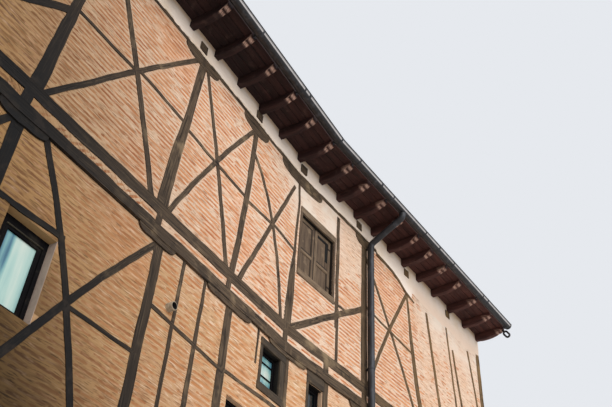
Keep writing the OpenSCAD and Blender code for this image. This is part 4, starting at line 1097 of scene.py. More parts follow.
@dataclass
class BrickSkin:
    """A relief of thin bricks between ribs of smeared lime, over one storey of a wall."""

    wall: Wall
    name: str
    z0: float
    z1: float
    tree: BVHTree
    u0: float | None = None
    u1: float | None = None
    slant: float = 0.0
    column: float = 0.05
    tight: Callable[[float, float], float] = field(default=lambda u, z: 0.0)
    clip: Sequence[tuple[Point, Point]] = ()

    course = 0.066
    brick_depth = 0.0112
    rib_depth = 0.0062
    shares = (0.02, 0.34, 0.48, 0.88)
    brick_middle = 0.18
    brick_half = 0.16
    reach = 0.12
    edge_rise = 0.0028
    snap = (0.52, 0.3)
    probe = (0.2, 0.215)

    def __post_init__(self) -> None:
        """Settles the relief's ends, its turn, its corner and the seed of its pattern."""
        self.u0 = self.wall.u0 if self.u0 is None else self.u0
        self.u1 = self.wall.u1 if self.u1 is None else self.u1
        self.turn = Matrix.Rotation(-self.slant, 3, "Y")
        self.origin = Vector((self.u0, 0, self.z0 - (self.u1 - self.u0) * math.tan(abs(self.slant))))
        self.seed = float(len(self.name))
        self.openings = OPENINGS[self.wall.side]

    def build(self) -> None:
        """Builds the relief."""
        bm = self.grid()
        lime = layer(bm, "lime")
        covered = {vert for vert in bm.verts if self.shape(vert, lime)}
        gone = [f for f in bm.faces if all(v in covered for v in f.verts)]
        bmesh.ops.delete(bm, geom=gone, context="FACES")
        self.trim(bm)
        inverse = self.turn.to_4x4() @ self.wall.matrix.inverted()

        def place(point: Vector) -> Spot:
            """The pattern's place of a corner."""
            spot = inverse @ point
            return spot.x, spot.z - self.z0

        lay_uv(bm, "wall", bm.faces, place)
        finish_piece(self.name, bm, BRICK, "brick", crease=180)

    def grid(self) -> BMesh:
        """A flat grid of place along the course, course and height, with four rows to a course.

        Returns:
            The mesh.
        """
        bm = bmesh.new()
        long, high, lean = self.u1 - self.u0, self.z1 - self.z0, abs(self.slant)
        width = (long + high * math.tan(lean)) / math.cos(lean)
        columns = math.ceil(width / self.column)
        rows = 4 * math.ceil((high + long * math.sin(lean)) / self.course)
        bmesh.ops.create_grid(bm, x_segments=columns, y_segments=rows, size=1.0)
        for vert in bm.verts:
            i = round((vert.co.x + 1) / 2 * columns)
            course, row = divmod(round((vert.co.y + 1) / 2 * rows), 4)
            vert.co = Vector((i / columns * width, course, (course + self.shares[row]) * self.course))
        return bm

    def shape(self, vert: BMVert, lime: object) -> bool:
        """Moves a point of the grid to its place in the wall.

        Args:
            vert: The point.
            lime: The layer that says how much lime covers it.

        Returns:
            Whether something covers the point, or it lies in an opening.
        """
        along, course, level = vert.co
        share = level / self.course - course
        row = min(range(4), key=lambda r: abs(self.shares[r] - share))
        spot = self.spot(along, level)
        world = self.wall.at(spot.x, 0, spot.z)
        near = self.tree.find_nearest(world, self.reach)
        gap = near[3] if near[0] is not None else self.reach
        rise = self.edge_rise * ease(0.035, 0.006, gap)
        wave = ripple((along, course * 0.4, 0), 0.11, self.seed)
        if row < 2:
            border = 1 - ease(0.008, 0.05 + 0.03 * ripple(spot, 0.2, self.seed), gap)
            border = max([border] + [1 - ease(0.01, 0.04, o.gap(spot.x, spot.z)) for o in self.openings])
            cover = max(border, 1 - self.shown(along, course, spot))
            half = self.brick_half * self.course * (0.35 + 0.65 * (1 - cover))
            level = (course + self.brick_middle + 0.07 * wave) * self.course + (half if row else -half)
            depth = mix(self.brick_depth, self.rib_depth + 0.0012 + rise, cover)
            vert[lime] = cover
        else:
            level += 0.05 * self.course * wave
            depth = self.rib_depth + 0.0016 * ripple(spot, 0.07, self.seed + 3) + rise
            vert[lime] = 1.0
        spot = self.spot(along, level)
        u, z = spot.x, spot.z if self.slant else min(max(spot.z, self.z0), self.z1)
        for o in self.openings:
            u, z = o.snapped(u, z, self.column * self.snap[0], self.course * self.snap[1])
        vert.co = self.wall.at(u, depth, z)
        outward = self.wall.outward
        start, length = self.probe
        hidden = self.tree.ray_cast(world + outward * start, -outward, length)[0] is not None
        return hidden or any(o.holds(u, z, 0.001, 0.001) for o in self.openings)

    def spot(self, along: float, level: float) -> Vector:
        """The wall coordinates of a place along the courses and a height across them."""
        return self.origin + self.turn @ Vector((along, 0, level))

    def shown(self, along: float, course: float, spot: Vector) -> float:
        """How much of the brick shows through the lime, from 0 to 1.

        Args:
            along: Place along the course.
            course: The course's number.
            spot: The place in wall coordinates.

        Returns:
            The share of the brick that shows.
        """
        streak = ripple((along, course * 3.1, 0), 0.2, self.seed + 1)
        fine = ripple((along, course * 5.3, 0), 0.07, self.seed + 2)
        patch = ripple((spot.x, spot.z, 0), 0.8, self.seed + 5)
        coat = self.tight(spot.x, spot.z)
        return ease(-0.42, 0.12, streak + 0.4 * fine + 0.35 * patch + 0.12 - 1.3 * coat)

    def trim(self, bm: BMesh) -> None:
        """Cuts a slanted relief to its rectangle and any relief to its clip planes.

        Args:
            bm: The mesh.
        """
        planes = list(self.clip)
        if self.slant:
            planes += [((u, 0, z), way) for u, z, way in (
                (self.u0, self.z0, (-1, 0, 0)), (self.u1, self.z0, (1, 0, 0)),
                (self.u0, self.z0, (0, 0, -1)), (self.u0, self.z1, (0, 0, 1)))]
        for point, normal in planes:
            cut(bm, bm.verts[:], self.wall.at(*point), self.wall.way(*normal), True)


def left_coat(u: float, z: float) -> float:
    """How thickly the left wing is limewashed, from 0 to 1."""
    lower = 0.16 * ease(HOUSE.z_band + 0.1, HOUSE.z_beam - 0.2, z) * ease(-3.0, -1.6, u)
    return max(lower, 0.5 * ease(0.9, 0.2, math.hypot(u, (z - HOUSE.z_plate) / 1.6)))


def right_coat(u: float, z: float) -> float:
    """How thickly the right wing is limewashed, from 0 to 1."""
    over_shutters = ease(1.5, 0.7, math.hypot((u - 0.55) / 1.2, (z - HOUSE.z_plate + 0.3) / 0.8))
    return max(over_shutters, 0.5 * ease(3.4, 4.2, u), 0.2 * ease(HOUSE.z_upper, HOUSE.z_beam, z))


@dataclass
class Infill:
    """The brick relief of every wall."""

    tree: BVHTree
    slanted: tuple[float, float] = (-4.97, -3.03)
    slant: float = math.radians(37)
    coarse: float = 0.08

    def build(self) -> None:
        """Builds all the reliefs."""
        coats = {Side.LEFT_FRONT: {"tight": left_coat}, Side.RIGHT_FRONT: {"tight": right_coat}}
        storeys = (("lower", HOUSE.z_lower, HOUSE.z_beam), ("upper", HOUSE.z_upper, HOUSE.z_plate),
                   ("band", HOUSE.z_band, HOUSE.z_upper_sill))
        low, high = self.slanted
        for side, wall in WALLS.items():
            looks = coats.get(side, {"column": self.coarse})
            for storey, z0, z1 in storeys:
                name = f"{side.value}_{storey}_bricks"
                if side is Side.LEFT_FRONT and storey == "band":
                    BrickSkin(wall, f"{name}_end", z0, z1, self.tree, u1=low).build()
                    BrickSkin(wall, f"{name}_slanted", z0, z1, self.tree, low, high, self.slant, 0.04).build()
                    BrickSkin(wall, name, z0, z1, self.tree, high, **looks).build()
                else:
                    BrickSkin(wall, name, z0, z1, self.tree, **looks).build()
        self.gable_top()
        self.fillets()
        dress(BACKING, "lower_brick", "band_brick", "left_brick", "right_brick", "gable_brick", "back_brick")

    def gable_top(self) -> None:
        """Builds the gable's triangle, cut along both roof slopes."""
        across, up = math.sin(HOUSE.roof_slope), math.cos(HOUSE.roof_slope)
        ends = ((0, -1), (HOUSE.depth, 1))
        clip = [((u, 0, HOUSE.roof_under(u)), (way * across, 0, up)) for u, way in ends]
        BrickSkin(WALLS[Side.GABLE], "gable_top_bricks", HOUSE.z_eave_band, HOUSE.roof_under(HOUSE.depth / 2),
                  self.tree, column=self.coarse, clip=clip).build()

    @staticmethod
    def fillets() -> None:
        """Fills the strips beside two window frames that the relief covers."""
        bm = bmesh.new()
        for u0, u1, o in ((-4.56, BEDROOM.u0, BEDROOM), (STAIR.u0, STAIR_FRAME.u0, STAIR)):
            box(bm, wing(False), (u0, 0.013, o.z0), (u1, 0.12, o.z1))
        finish_piece("lime_fillets", bm, BACKING, "render")


# Timbers

Stretch = tuple[Wall, Vector, Vector, float]


@dataclass
class HewnTimber:
    """A timber solid with chamfered, uneven faces and its grain along each member."""

    node: str
    sides: Sequence[Side]
    step: float = 0.09
    rough: float = 0.007
    flat: float = 0.12
    proud: float = 0.0

    chamfer = 0.008
    facing = 0.995
    face_y = (-0.05, 0.06)
    shortest = 0.02

    def build(self) -> None:
        """Builds the hewn copy."""
        bm = merged(self.node)
        walls = [WALLS[side] for side in self.sides]
        for wall in walls:
            for vert in unique(v for f in self.front(bm, wall) for v in f.verts):
                vert.co += wall.outward * self.proud
        rims = [stretch for wall in walls for stretch in self.soften(bm, wall)]
        for wall in walls:
            self.divide(bm, wall)
        self.weather(bm, walls[0].outward)
        self.lay_grain(bm, rims)
        finish_piece(f"hewn_{self.node}", bm, TIMBER, "timber", self.node, crease=50)

    def front(self, bm: BMesh, wall: Wall) -> list[BMFace]:
        """The faces that lie in a wall's timber face.

        Args:
            bm: The mesh.
            wall: The wall.

        Returns:
            The faces.
        """
        near, far = self.face_y
        facing = [f for f in bm.faces if f.normal.dot(wall.outward) > self.facing]
        spots = [wall.local(f.calc_center_median()) for f in facing]
        return [f for f, spot in zip(facing, spots)
                if near < spot.y < far and wall.u0 - 0.3 < spot.x < wall.u1 + 0.3]

    def soften(self, bm: BMesh, wall: Wall) -> list[Stretch]:
        """Chamfers the outline of the front faces and returns that outline's stretches.

        Args:
            bm: The mesh.
            wall: The wall.

        Returns:
            The stretches.
        """
        faces = self.front(bm, wall)
        chosen = set(faces)
        rim = [e for f in faces for e in f.edges if sum(g in chosen for g in e.link_faces) == 1]
        stretches = self.stretches(rim, wall)
        rim_verts = unique(v for e in rim for v in e.verts)
        bmesh.ops.inset_region(bm, faces=faces, thickness=self.chamfer, use_boundary=True,
                               use_even_offset=False)
        for vert in rim_verts:
            vert.co -= wall.outward * self.chamfer * 0.3
        return stretches

    @staticmethod
    def stretches(rim: Sequence[BMEdge], wall: Wall) -> list[Stretch]:
        """The outline's edges, each with its start, its end and its distance along its loop.

        Args:
            rim: The outline's edges.
            wall: The wall.

        Returns:
            The stretches.
        """
        left = dict.fromkeys(rim)
        found = []
        while left:
            edge = next(iter(left))
            vert = edge.verts[0]
            run = 0.0
            while edge is not None:
                left.pop(edge)
                other = edge.other_vert(vert)
                a, b = wall.local(vert.co), wall.local(other.co)
                found.append((wall, a, b, run))
                run += (b - a).length
                edge = next((e for e in other.link_edges if e in left), None)
                vert = other
        return found

    def divide(self, bm: BMesh, wall: Wall) -> None:
        """Cuts the faces into cells so that they can be uneven.

        Args:
            bm: The mesh.
            wall: The wall.
        """
        spots = [wall.local(v.co) for v in bm.verts]
        spots = [s for s in spots if wall.u0 - 0.2 < s.x < wall.u1 + 0.2 and -0.1 < s.y < 0.4]
        for axis, way in ((0, Vector((1, 0, 0))), (2, Vector((0, 0, 1)))):
            low, high = (pick(s[axis] for s in spots) for pick in (min, max))
            count = max(int((high - low) / self.step), 1)
            for i in range(1, count):
                cut(bm, bm.verts[:], wall.at(*way * mix(low, high, i / count)), wall.way(*way))

    def weather(self, bm: BMesh, outward: Vector) -> None:
        """Moves the points a little, more along the wall than out of it, as an axe leaves oak.

        Args:
            bm: The mesh.
            outward: The way that the wall faces.
        """
        for vert in bm.verts:
            spot = vert.co
            push = Vector([ripple(spot, 0.3, 1.0 + i) * 1.5 + ripple(spot, 0.1, 4.0 + i) * 0.8
                           for i in range(3)])
            push -= outward * push.dot(outward) * (1 - self.flat)
            vert.co = spot + push * self.rough

    def lay_grain(self, bm: BMesh, rims: Sequence[Stretch]) -> None:
        """Lays the UV map of the grain, along the nearest stretch of the outline.

        Args:
            bm: The mesh.
            rims: The outline's stretches.
        """
        uv = bm.loops.layers.uv.new("grain")
        by_wall: dict[Side, list[Stretch]] = {}
        for rim in rims:
            if (rim[2] - rim[1]).length > self.shortest:
                by_wall.setdefault(rim[0].side, []).append(rim)
        packs = {side: (WALLS[side].matrix.inverted(), *(np.array([[r[end].x, r[end].z] for r in rows])
                                                         for end in (1, 2)), np.array([r[3] for r in rows]))
                 for side, rows in by_wall.items()}
        for face in bm.faces:
            centre = face.calc_center_median()
            inverse, starts, ends, runs = min(packs.values(), key=lambda pack: abs((pack[0] @ centre).y))
            point = np.array((inverse @ centre).xz)
            leg = ends - starts
            length = np.hypot(*leg.T)
            share = np.clip(((point - starts) * leg).sum(1) / length**2, 0, 1)
            gap = np.hypot(*(starts + leg * share[:, None] - point).T) - np.minimum(length, 0.3) * 0.12
            best = int(np.argmin(gap))
            along = leg[best] / length[best]
            for loop in face.loops:
                place = inverse @ loop.vert.co
                offset = np.array(place.xz) - starts[best]
                across = abs(offset[0] * along[1] - offset[1] * along[0])
                loop[uv].uv = (runs[best] + offset @ along + best * 0.37, across - place.y + best * 0.11)


@dataclass
class Frame:
    """The hewn copies of all the timber solids."""

    heavy_rough: float = 0.011
    heavy_flat: float = 0.08
    rear_step: float = 0.16
    end_step: float = 0.05
    end_proud: float = 0.012

    def build(self) -> None:
        """Builds each timber solid's hewn copy."""
        heavy = {"rough": self.heavy_rough, "flat": self.heavy_flat}
        rear = {"step": self.rear_step}
        ends = {"step": self.end_step, "proud": self.end_proud}
        for sides, looks, nodes in (
            (FRONT[:1], {}, ("left_lower_frame", "left_posts", "left_braces")),
            (FRONT[1:], {}, ("right_lower_frame", "right_posts", "right_braces")),
            (FRONT, heavy, ("floor_beam", "upper_sill", "wall_plate", "bolsters")),
            ((Side.GABLE,), rear, ("gable_frame",)),
            (BACK, rear, ("back_frame", "back_post")),
            (FRONT, ends, ("tie_beams",)),
        ):
            for node in nodes:
                HewnTimber(node, sides, **looks).build()


# Eave, gutter and downpipe

@dataclass
class Eave:
    """Brackets, boards and the plastered band under the roof's edge."""

    board: float = 0.126
    gap: float = 0.006
    sag: float = 0.028
    bracket_edge: float = 0.006
    end_t: float = 0.025
    slack: float = 0.001
    belly_cuts: Sequence[float] = (0.2, 0.27, 0.34, 0.41, 0.48, 0.55)
    lit_tips: Sequence[Point] = ((0.02, 0.032, 0.07, 0.052), (0.106, 0.118, 0.156, 0.138))

    def build(self) -> None:
        """Builds the eave's pieces."""
        self.brackets()
        self.boards()
        dress(CREAM, "eave_band")

    def brackets(self) -> None:
        """Rounds the brackets' edges and paints pale highlights on their tips through the wear layer."""
        bm = merged("eave_brackets")
        self.belly(bm)
        sharp = [e for e in bm.edges if e.is_manifold and e.calc_face_angle(0) > math.radians(50)]
        bevel(bm, sharp, self.bracket_edge, clamped=False)
        wear = layer(bm, "wear")
        for vert in bm.verts:
            spot = in_wing(vert.co)
            out = HOUSE.out(spot.y)
            # Painted highlight: pale patches on two bands near each bracket's tip, kept in the wear layer.
            worn = sum(ease(a, b, out) * ease(c, d, out) for a, b, c, d in self.lit_tips)
            vert[wear] = worn * (spot.z < HOUSE.z_eave - 0.05) * 0.8

        def place(point: Vector) -> Spot:
            """The grain's place of a corner."""
            spot = in_wing(point)
            return spot.y, spot.z + spot.x * 1.3

        lay_uv(bm, "grain", bm.faces, place)
        finish_piece("carved_brackets", bm, EAVE_WOOD, "eave_wood", "eave_brackets")

    def belly(self, bm: BMesh) -> None:
        """Gives the brackets' undersides their shallow curve.

        Args:
            bm: The mesh.
        """
        middle = HOUSE.depth / 2
        for right in WINGS:
            matrix = wing(right)
            inverse = matrix.inverted()
            for back in (False, True):
                for out in self.belly_cuts:
                    y = HOUSE.depth + HOUSE.eave_out - out if back else -HOUSE.eave_out + out
                    near = [v for v in bm.verts
                            if (v.co.x > 0) is right and ((inverse @ v.co).y > middle) is back]
                    cut(bm, near, matrix @ Vector((0, y, 0)), matrix.to_3x3() @ Vector((0, 1, 0)))
        for vert in bm.verts:
            spot = in_wing(vert.co)
            out = HOUSE.out(spot.y)
            if spot.z < HOUSE.z_eave - 0.05:
                vert.co.z -= self.sag * ease(0.14, 0.34, out) * ease(0.63, 0.45, out)

    def boards(self) -> None:
        """Lays boards along the eaves, with an inner board on the wall and closed ends."""
        bm = bmesh.new()
        h = HOUSE
        count = round(h.eave_out / self.board)
        pitch = h.eave_out / count
        for back in (False, True):
            for i in range(count):
                near = -h.eave_out + i * pitch + (self.gap / 2 if i else 0)
                far = -h.eave_out + (i + 1) * pitch - self.gap / 2
                self.run(bm, near, far, -h.left_len, h.right_len + h.verge, back)
            self.run(bm, self.gap / 2, h.frame_t, -INNER_LEFT, h.right_len, back)
        for face in bm.faces:
            shift = math.floor(face.calc_center_median().y / pitch) * 3.7

            def place(point: Vector) -> Spot:
                """The grain's place of a corner."""
                spot = in_wing(point)
                return spot.x + shift, spot.y + spot.z

            lay_uv(bm, "grain", [face], place)
        layer(bm, "wear")
        self.ends(bm)
        finish_piece("eave_boards", bm, EAVE_WOOD, "eave_wood", "soffit")

    @staticmethod
    def run(bm: BMesh, near: float, far: float, u0: float, u1: float, back: bool) -> None:
        """One board along both wings, with its lower edges chamfered.

        Args:
            bm: The mesh.
            near: Its outer edge in depth.
            far: Its inner edge in depth.
            u0: Its start along the wing.
            u1: Its end along the wing.
            back: Whether it is at the back.
        """
        if back:
            near, far = HOUSE.depth - far, HOUSE.depth - near
        low, high, edge = HOUSE.z_eave, HOUSE.z_roof, 0.003
        sweep(bm, [(near + edge, low), (far - edge, low), (far, low + edge), (far, high), (near, high),
                   (near, low + edge)], run_stations(u0, u1))

    def ends(self, bm: BMesh) -> None:
        """Closes the wedge between the boards and the roof at each end of the eaves.

        Args:
            bm: The mesh.
        """
        h = HOUSE
        outer = -h.eave_out + self.slack
        for right in WINGS:
            u0 = h.right_len - self.end_t - self.slack if right else -h.left_len + self.slack
            inner = h.frame_t - self.slack if right else -self.slack
            wedge = [(outer, h.z_roof), (inner, h.z_roof), (inner, h.roof_under(inner)),
                     (outer, h.z_roof + self.slack)]
            for back in (False, True):
                sweep(bm, h.flipped(wedge, back), [in_plane(right, u) for u in (u0, u0 + self.end_t)])


@dataclass
class Rainwater:
    """The half round gutter along the eave and the downpipe at the bend."""

    radius: float = 0.075
    sheet: float = 0.004
    reach: float = 0.725
    bead: float = 0.009
    pipe_r: float = 0.055
    pipe_u: float = 1.96
    pipe_gap: float = 0.035
    pipe_bend: float = 0.07
    brackets: Sequence[float] = (0.6, 3.0, 5.2, 7.35, 9.66)
    joints: Sequence[float] = (2.0, 4.1, 6.2, 8.3, 9.2)
    straps: Sequence[float] = (*(-0.092 - i * 1.15 for i in range(6)),
                               0.534, 1.576, 2.692, 3.759, 4.996, 6.2575)
    strap_w: float = 0.03
    laps: Sequence[float] = (-5.1, -3.1, -1.1, 1.2, 3.2, 5.2)
    lap_w: float = 0.045
    lap_t: float = 0.0022
    shines: Sequence[Point] = ((1.0, 208, 7), (0.3, 194, 12))

    @property
    def wall_y(self) -> float:
        """The downpipe's middle before the wall."""
        return -self.pipe_gap - self.pipe_r

    def build(self) -> None:
        """Builds the gutter and the downpipe."""
        self.gutter()
        self.downpipe()

    def half_round(self, outer: float, inner: float, steps: int = 24) -> list[Spot]:
        """A half round channel's outline in depth and height."""
        centre = (-self.reach, HOUSE.z_eave)
        return arc(centre, outer, 180, 360, steps) + arc(centre, inner, 360, 180, steps)

    def gutter(self) -> None:
        """Builds the channel with its bead, straps, laps and ends."""
        bm = bmesh.new()
        shine = layer(bm, "shine")
        u0, u1 = -HOUSE.left_len, HOUSE.gutter_right
        outline = self.half_round(self.radius, self.radius - self.sheet, 45)
        for i, vert in enumerate(sweep(bm, outline, run_stations(u0, u1))):
            # Painted highlight: shine marks a narrow pale line and a wider, weaker band along the channel's
            # outer side.
            angle = i % len(outline) * 4.0 + 180
            vert[shine] = max(top * math.exp(-((angle - at) / wide) ** 2) for top, at, wide in self.shines)
        bead_at = (-self.reach - self.radius - self.bead / 2 + self.sheet, HOUSE.z_eave + self.bead * 0.8)
        sweep(bm, arc(bead_at, self.bead, 0, 345, 15), run_stations(u0, u1))
        inner = self.radius - 0.001
        for u in self.straps:
            self.ring(bm, u, self.strap_w, self.radius + self.sheet, inner)
            self.hook(bm, u)
        for u in self.laps:
            self.ring(bm, u, self.lap_w, self.radius + self.lap_t, inner)
        for u in (u0 + 0.002, u1 - 0.002):
            self.ring(bm, u, self.sheet, self.radius + 0.002, 0.001)
        bmesh.ops.recalc_face_normals(bm, faces=bm.faces)
        finish_piece("zinc_gutter", bm, ZINC, "zinc", "gutter", crease=40)

    def ring(self, bm: BMesh, u: float, width: float, outer: float, inner: float) -> None:
        """A half round band of a width round the channel."""
        ends = [in_plane(u > 0, u + s * width / 2) for s in (-1, 1)]
        sweep(bm, self.half_round(outer, inner), ends)

    @staticmethod
    def hook(bm: BMesh, u: float) -> None:
        """The part of a strap that reaches the bracket.

        Args:
            bm: The mesh.
            u: Place along the wall.
        """
        z, y = HOUSE.z_eave, -HOUSE.eave_out
        for out, down in ((0.022, 0.008), (0.004, 0.068)):
            box(bm, wing(u > 0), (u - 0.015, y - out, z - down), (u + 0.015, y, z))

    def path(self) -> list[Vector]:
        """The downpipe's middle line, from the outlet down.

        Returns:
            Its points.
        """
        outlet = HOUSE.z_eave - self.radius
        start = Vector((0, -self.reach, outlet - 0.006))
        knee = Vector((0, -self.reach, outlet - 0.09))
        heel = Vector((0, self.wall_y, knee.z - 0.33))
        foot = Vector((0, self.wall_y, 0))
        points = [start]
        for corner, before, after in ((knee, start, heel), (heel, knee, foot)):
            a, b = (corner + (end - corner).normalized() * self.pipe_bend for end in (before, after))
            for i in range(9):
                t = i / 8
                points.append(a * (1 - t) ** 2 + corner * 2 * t * (1 - t) + b * t * t)
        return points + [foot]

    def downpipe(self) -> None:
        """Builds the pipe, its collars, sockets and wall brackets."""
        bm = bmesh.new()
        line = wing(True) @ Matrix.Translation((self.pipe_u, 0, 0))
        sweep(bm, arc((0, 0), self.pipe_r, 0, 360 - 360 / 28, 27), [line @ s for s in tangents(self.path())])
        for z in self.brackets:
            self.collar(bm, z, 0.036, 0.008)
            box(bm, line, (-0.014, self.wall_y, z + 0.004), (0.014, 0.0, z + 0.032))
        for z in self.joints:
            self.collar(bm, z, 0.06, 0.0035)
        bmesh.ops.recalc_face_normals(bm, faces=bm.faces)
        finish_piece("zinc_downpipe", bm, ZINC, "zinc", "downpipe", crease=40)

    def collar(self, bm: BMesh, z: float, height: float, proud: float) -> None:
        """A band round the pipe with rounded edges.

        Args:
            bm: The mesh.
            z: Height.
            height: Its height.
            proud: How far it stands out.
        """
        centre = wing(True) @ Matrix.Translation((self.pipe_u, self.wall_y, z))
        flat = ((-0.002, 0), (proud * 0.5, 0), (proud, 0.2), (proud, 0.8), (proud * 0.5, 1), (-0.002, 1))
        profile = [centre @ Vector((self.pipe_r + out, 0, share * height)) for out, share in flat]
        lathe(bm, profile, centre.to_translation(), Vector((0, 0, 1)), True)


# Windows and shutters

@dataclass
class Casement:
    """One window: an outer frame, its sashes with glazing bars, and the panes."""

    wall: Wall
    opening: Opening
    set_back: float
    frame_w: float = 0.045
    sash_w: float = 0.045
    lights: int = 1
    bars: Sequence[float] = ()
    bar: float = 0.01
    tone: float = 0.22
    top_extra: float = 0.0
    left_extra: float = 0.0
    bead: bool = False
    toning: Callable[[float, float], float] | None = None

    depth = 0.05
    sash_y = (0.012, -0.002)
    play = (0.002, 0.002, 0.003, 0.003)
    pane_y = 0.022
    pane_t = 0.004
    cells = (8, 12)

    def build(self, wood: BMesh, panes: BMesh) -> None:
        """Adds the window's wood to one mesh and its panes to another.

        Args:
            wood: The mesh of the wood.
            panes: The mesh of the panes.
        """
        y0, w = self.set_back, self.frame_w
        inner = self.opening.inset(w + self.left_extra, w, w, w + self.top_extra)
        self.rim(wood, self.opening, inner, y0, y0 + self.depth)
        width = (inner.u1 - inner.u0) / self.lights
        for i in range(self.lights):
            u0, u1 = (inner.u0 + j * width for j in (i, i + 1))
            self.sash(wood, panes, Opening(u0, u1, inner.z0, inner.z1).inset(*self.play))
        if self.bead:
            sticks(wood, self.wall.matrix, ((inner.u0, inner.u1), (y0 - 0.004, y0 + 0.01),
                                            (inner.z1 - 0.012, inner.z1 - 0.005), 0.001, 0.7))

    def rim(self, wood: BMesh, o: Opening, i: Opening, y0: float, y1: float) -> None:
        """Adds the two uprights and two rails between an outer and an inner outline.

        Args:
            wood: The mesh of the wood.
            o: The outer outline.
            i: The inner outline.
            y0: Its front in depth.
            y1: Its back in depth.
        """
        y = (y0, y1)
        sticks(wood, self.wall.matrix,
               ((o.u0, i.u0), y, (o.z0, o.z1)), ((i.u1, o.u1), y, (o.z0, o.z1)),
               ((i.u0, i.u1), y, (o.z0, i.z0)), ((i.u0, i.u1), y, (i.z1, o.z1)))

    def sash(self, wood: BMesh, panes: BMesh, leaf: Opening) -> None:
        """Adds one leaf with its bars and panes.

        Args:
            wood: The mesh of the wood.
            panes: The mesh of the panes.
            leaf: The leaf's outline.
        """
        y0, y1 = self.set_back + self.sash_y[0], self.set_back + self.depth + self.sash_y[1]
        inner = leaf.inset(*[self.sash_w] * 4)
        self.rim(wood, leaf, inner, y0, y1)
        for share in self.bars:
            z = mix(inner.z0, inner.z1, share)
            sticks(wood, self.wall.matrix, ((inner.u0, inner.u1), (y0 + 0.004, y1 - 0.004),
                                            (z - self.bar, z + self.bar), 0.003))
        self.pane(panes, inner.inset(*[-self.pane_t] * 4), y0 + self.pane_y)

    def pane(self, panes: BMesh, light: Opening, y: float) -> None:
        """Adds one pane, with the tone of what shows in it at its points.

        Args:
            panes: The mesh of the panes.
            light: The pane's outline.
            y: Its front in depth.
        """
        tone = layer(panes, "tone")
        columns, rows = self.cells
        made = bmesh.ops.create_grid(panes, x_segments=columns, y_segments=rows, size=0.5)["verts"]
        faces = faces_of(made)
        for vert in made:
            u, z = mix(light.u0, light.u1, vert.co.x + 0.5), mix(light.z0, light.z1, vert.co.y + 0.5)
            vert[tone] = self.toning(u, z) if self.toning else self.tone + 0.08 * ripple((u, z, 0), 0.5, 9.0)
            vert.co = self.wall.at(u, y, z)
        for vert in only(BMVert, bmesh.ops.extrude_face_region(panes, geom=faces)["geom"]):
            vert.co -= self.wall.outward * self.pane_t


def bedroom_tone(u: float, z: float) -> float:
    """A painted reflection of the sky's blue at the left of the bedroom window and a pale curtain over the
    rest.

    Args:
        u: Place along the wall.
        z: Height.

    Returns:
        The tone, from 0 to 1.
    """
    share = (u - BEDROOM.u0) / (BEDROOM.u1 - BEDROOM.u0)
    stripes = 0.48 + 0.12 * math.sin(share * 46)
    curtain = mix(stripes, 0.87, ease(0.3, 0.44, share + 0.12 * ripple((u, z * 0.3, 0), 0.25, 2.0)))
    return curtain - 0.04 - 0.13 * ease(0.66, 0.84, share)


def stair_tone(u: float, z: float) -> float:
    """Painted reflections of pale and teal sky in bands across the stair window, with painted shadow at its
    top and right.

    Args:
        u: Place along the wall.
        z: Height.

    Returns:
        The tone, from 0 to 1.
    """
    share = (z - STAIR.z0) / (STAIR.z1 - STAIR.z0)
    band = 0.74 + 0.16 * math.sin(share * 13.0 + 1.2)
    return mix(band, 0.1, max(ease(0.84, 0.93, share), ease(-0.17, -0.14, u)))


def narrow_tone(u: float, z: float) -> float:
    """A painted reflection of teal sky in a strip at the left of the narrow window's dark pane."""
    return mix(0.62, 0.06, ease(0.62, 0.66, u))


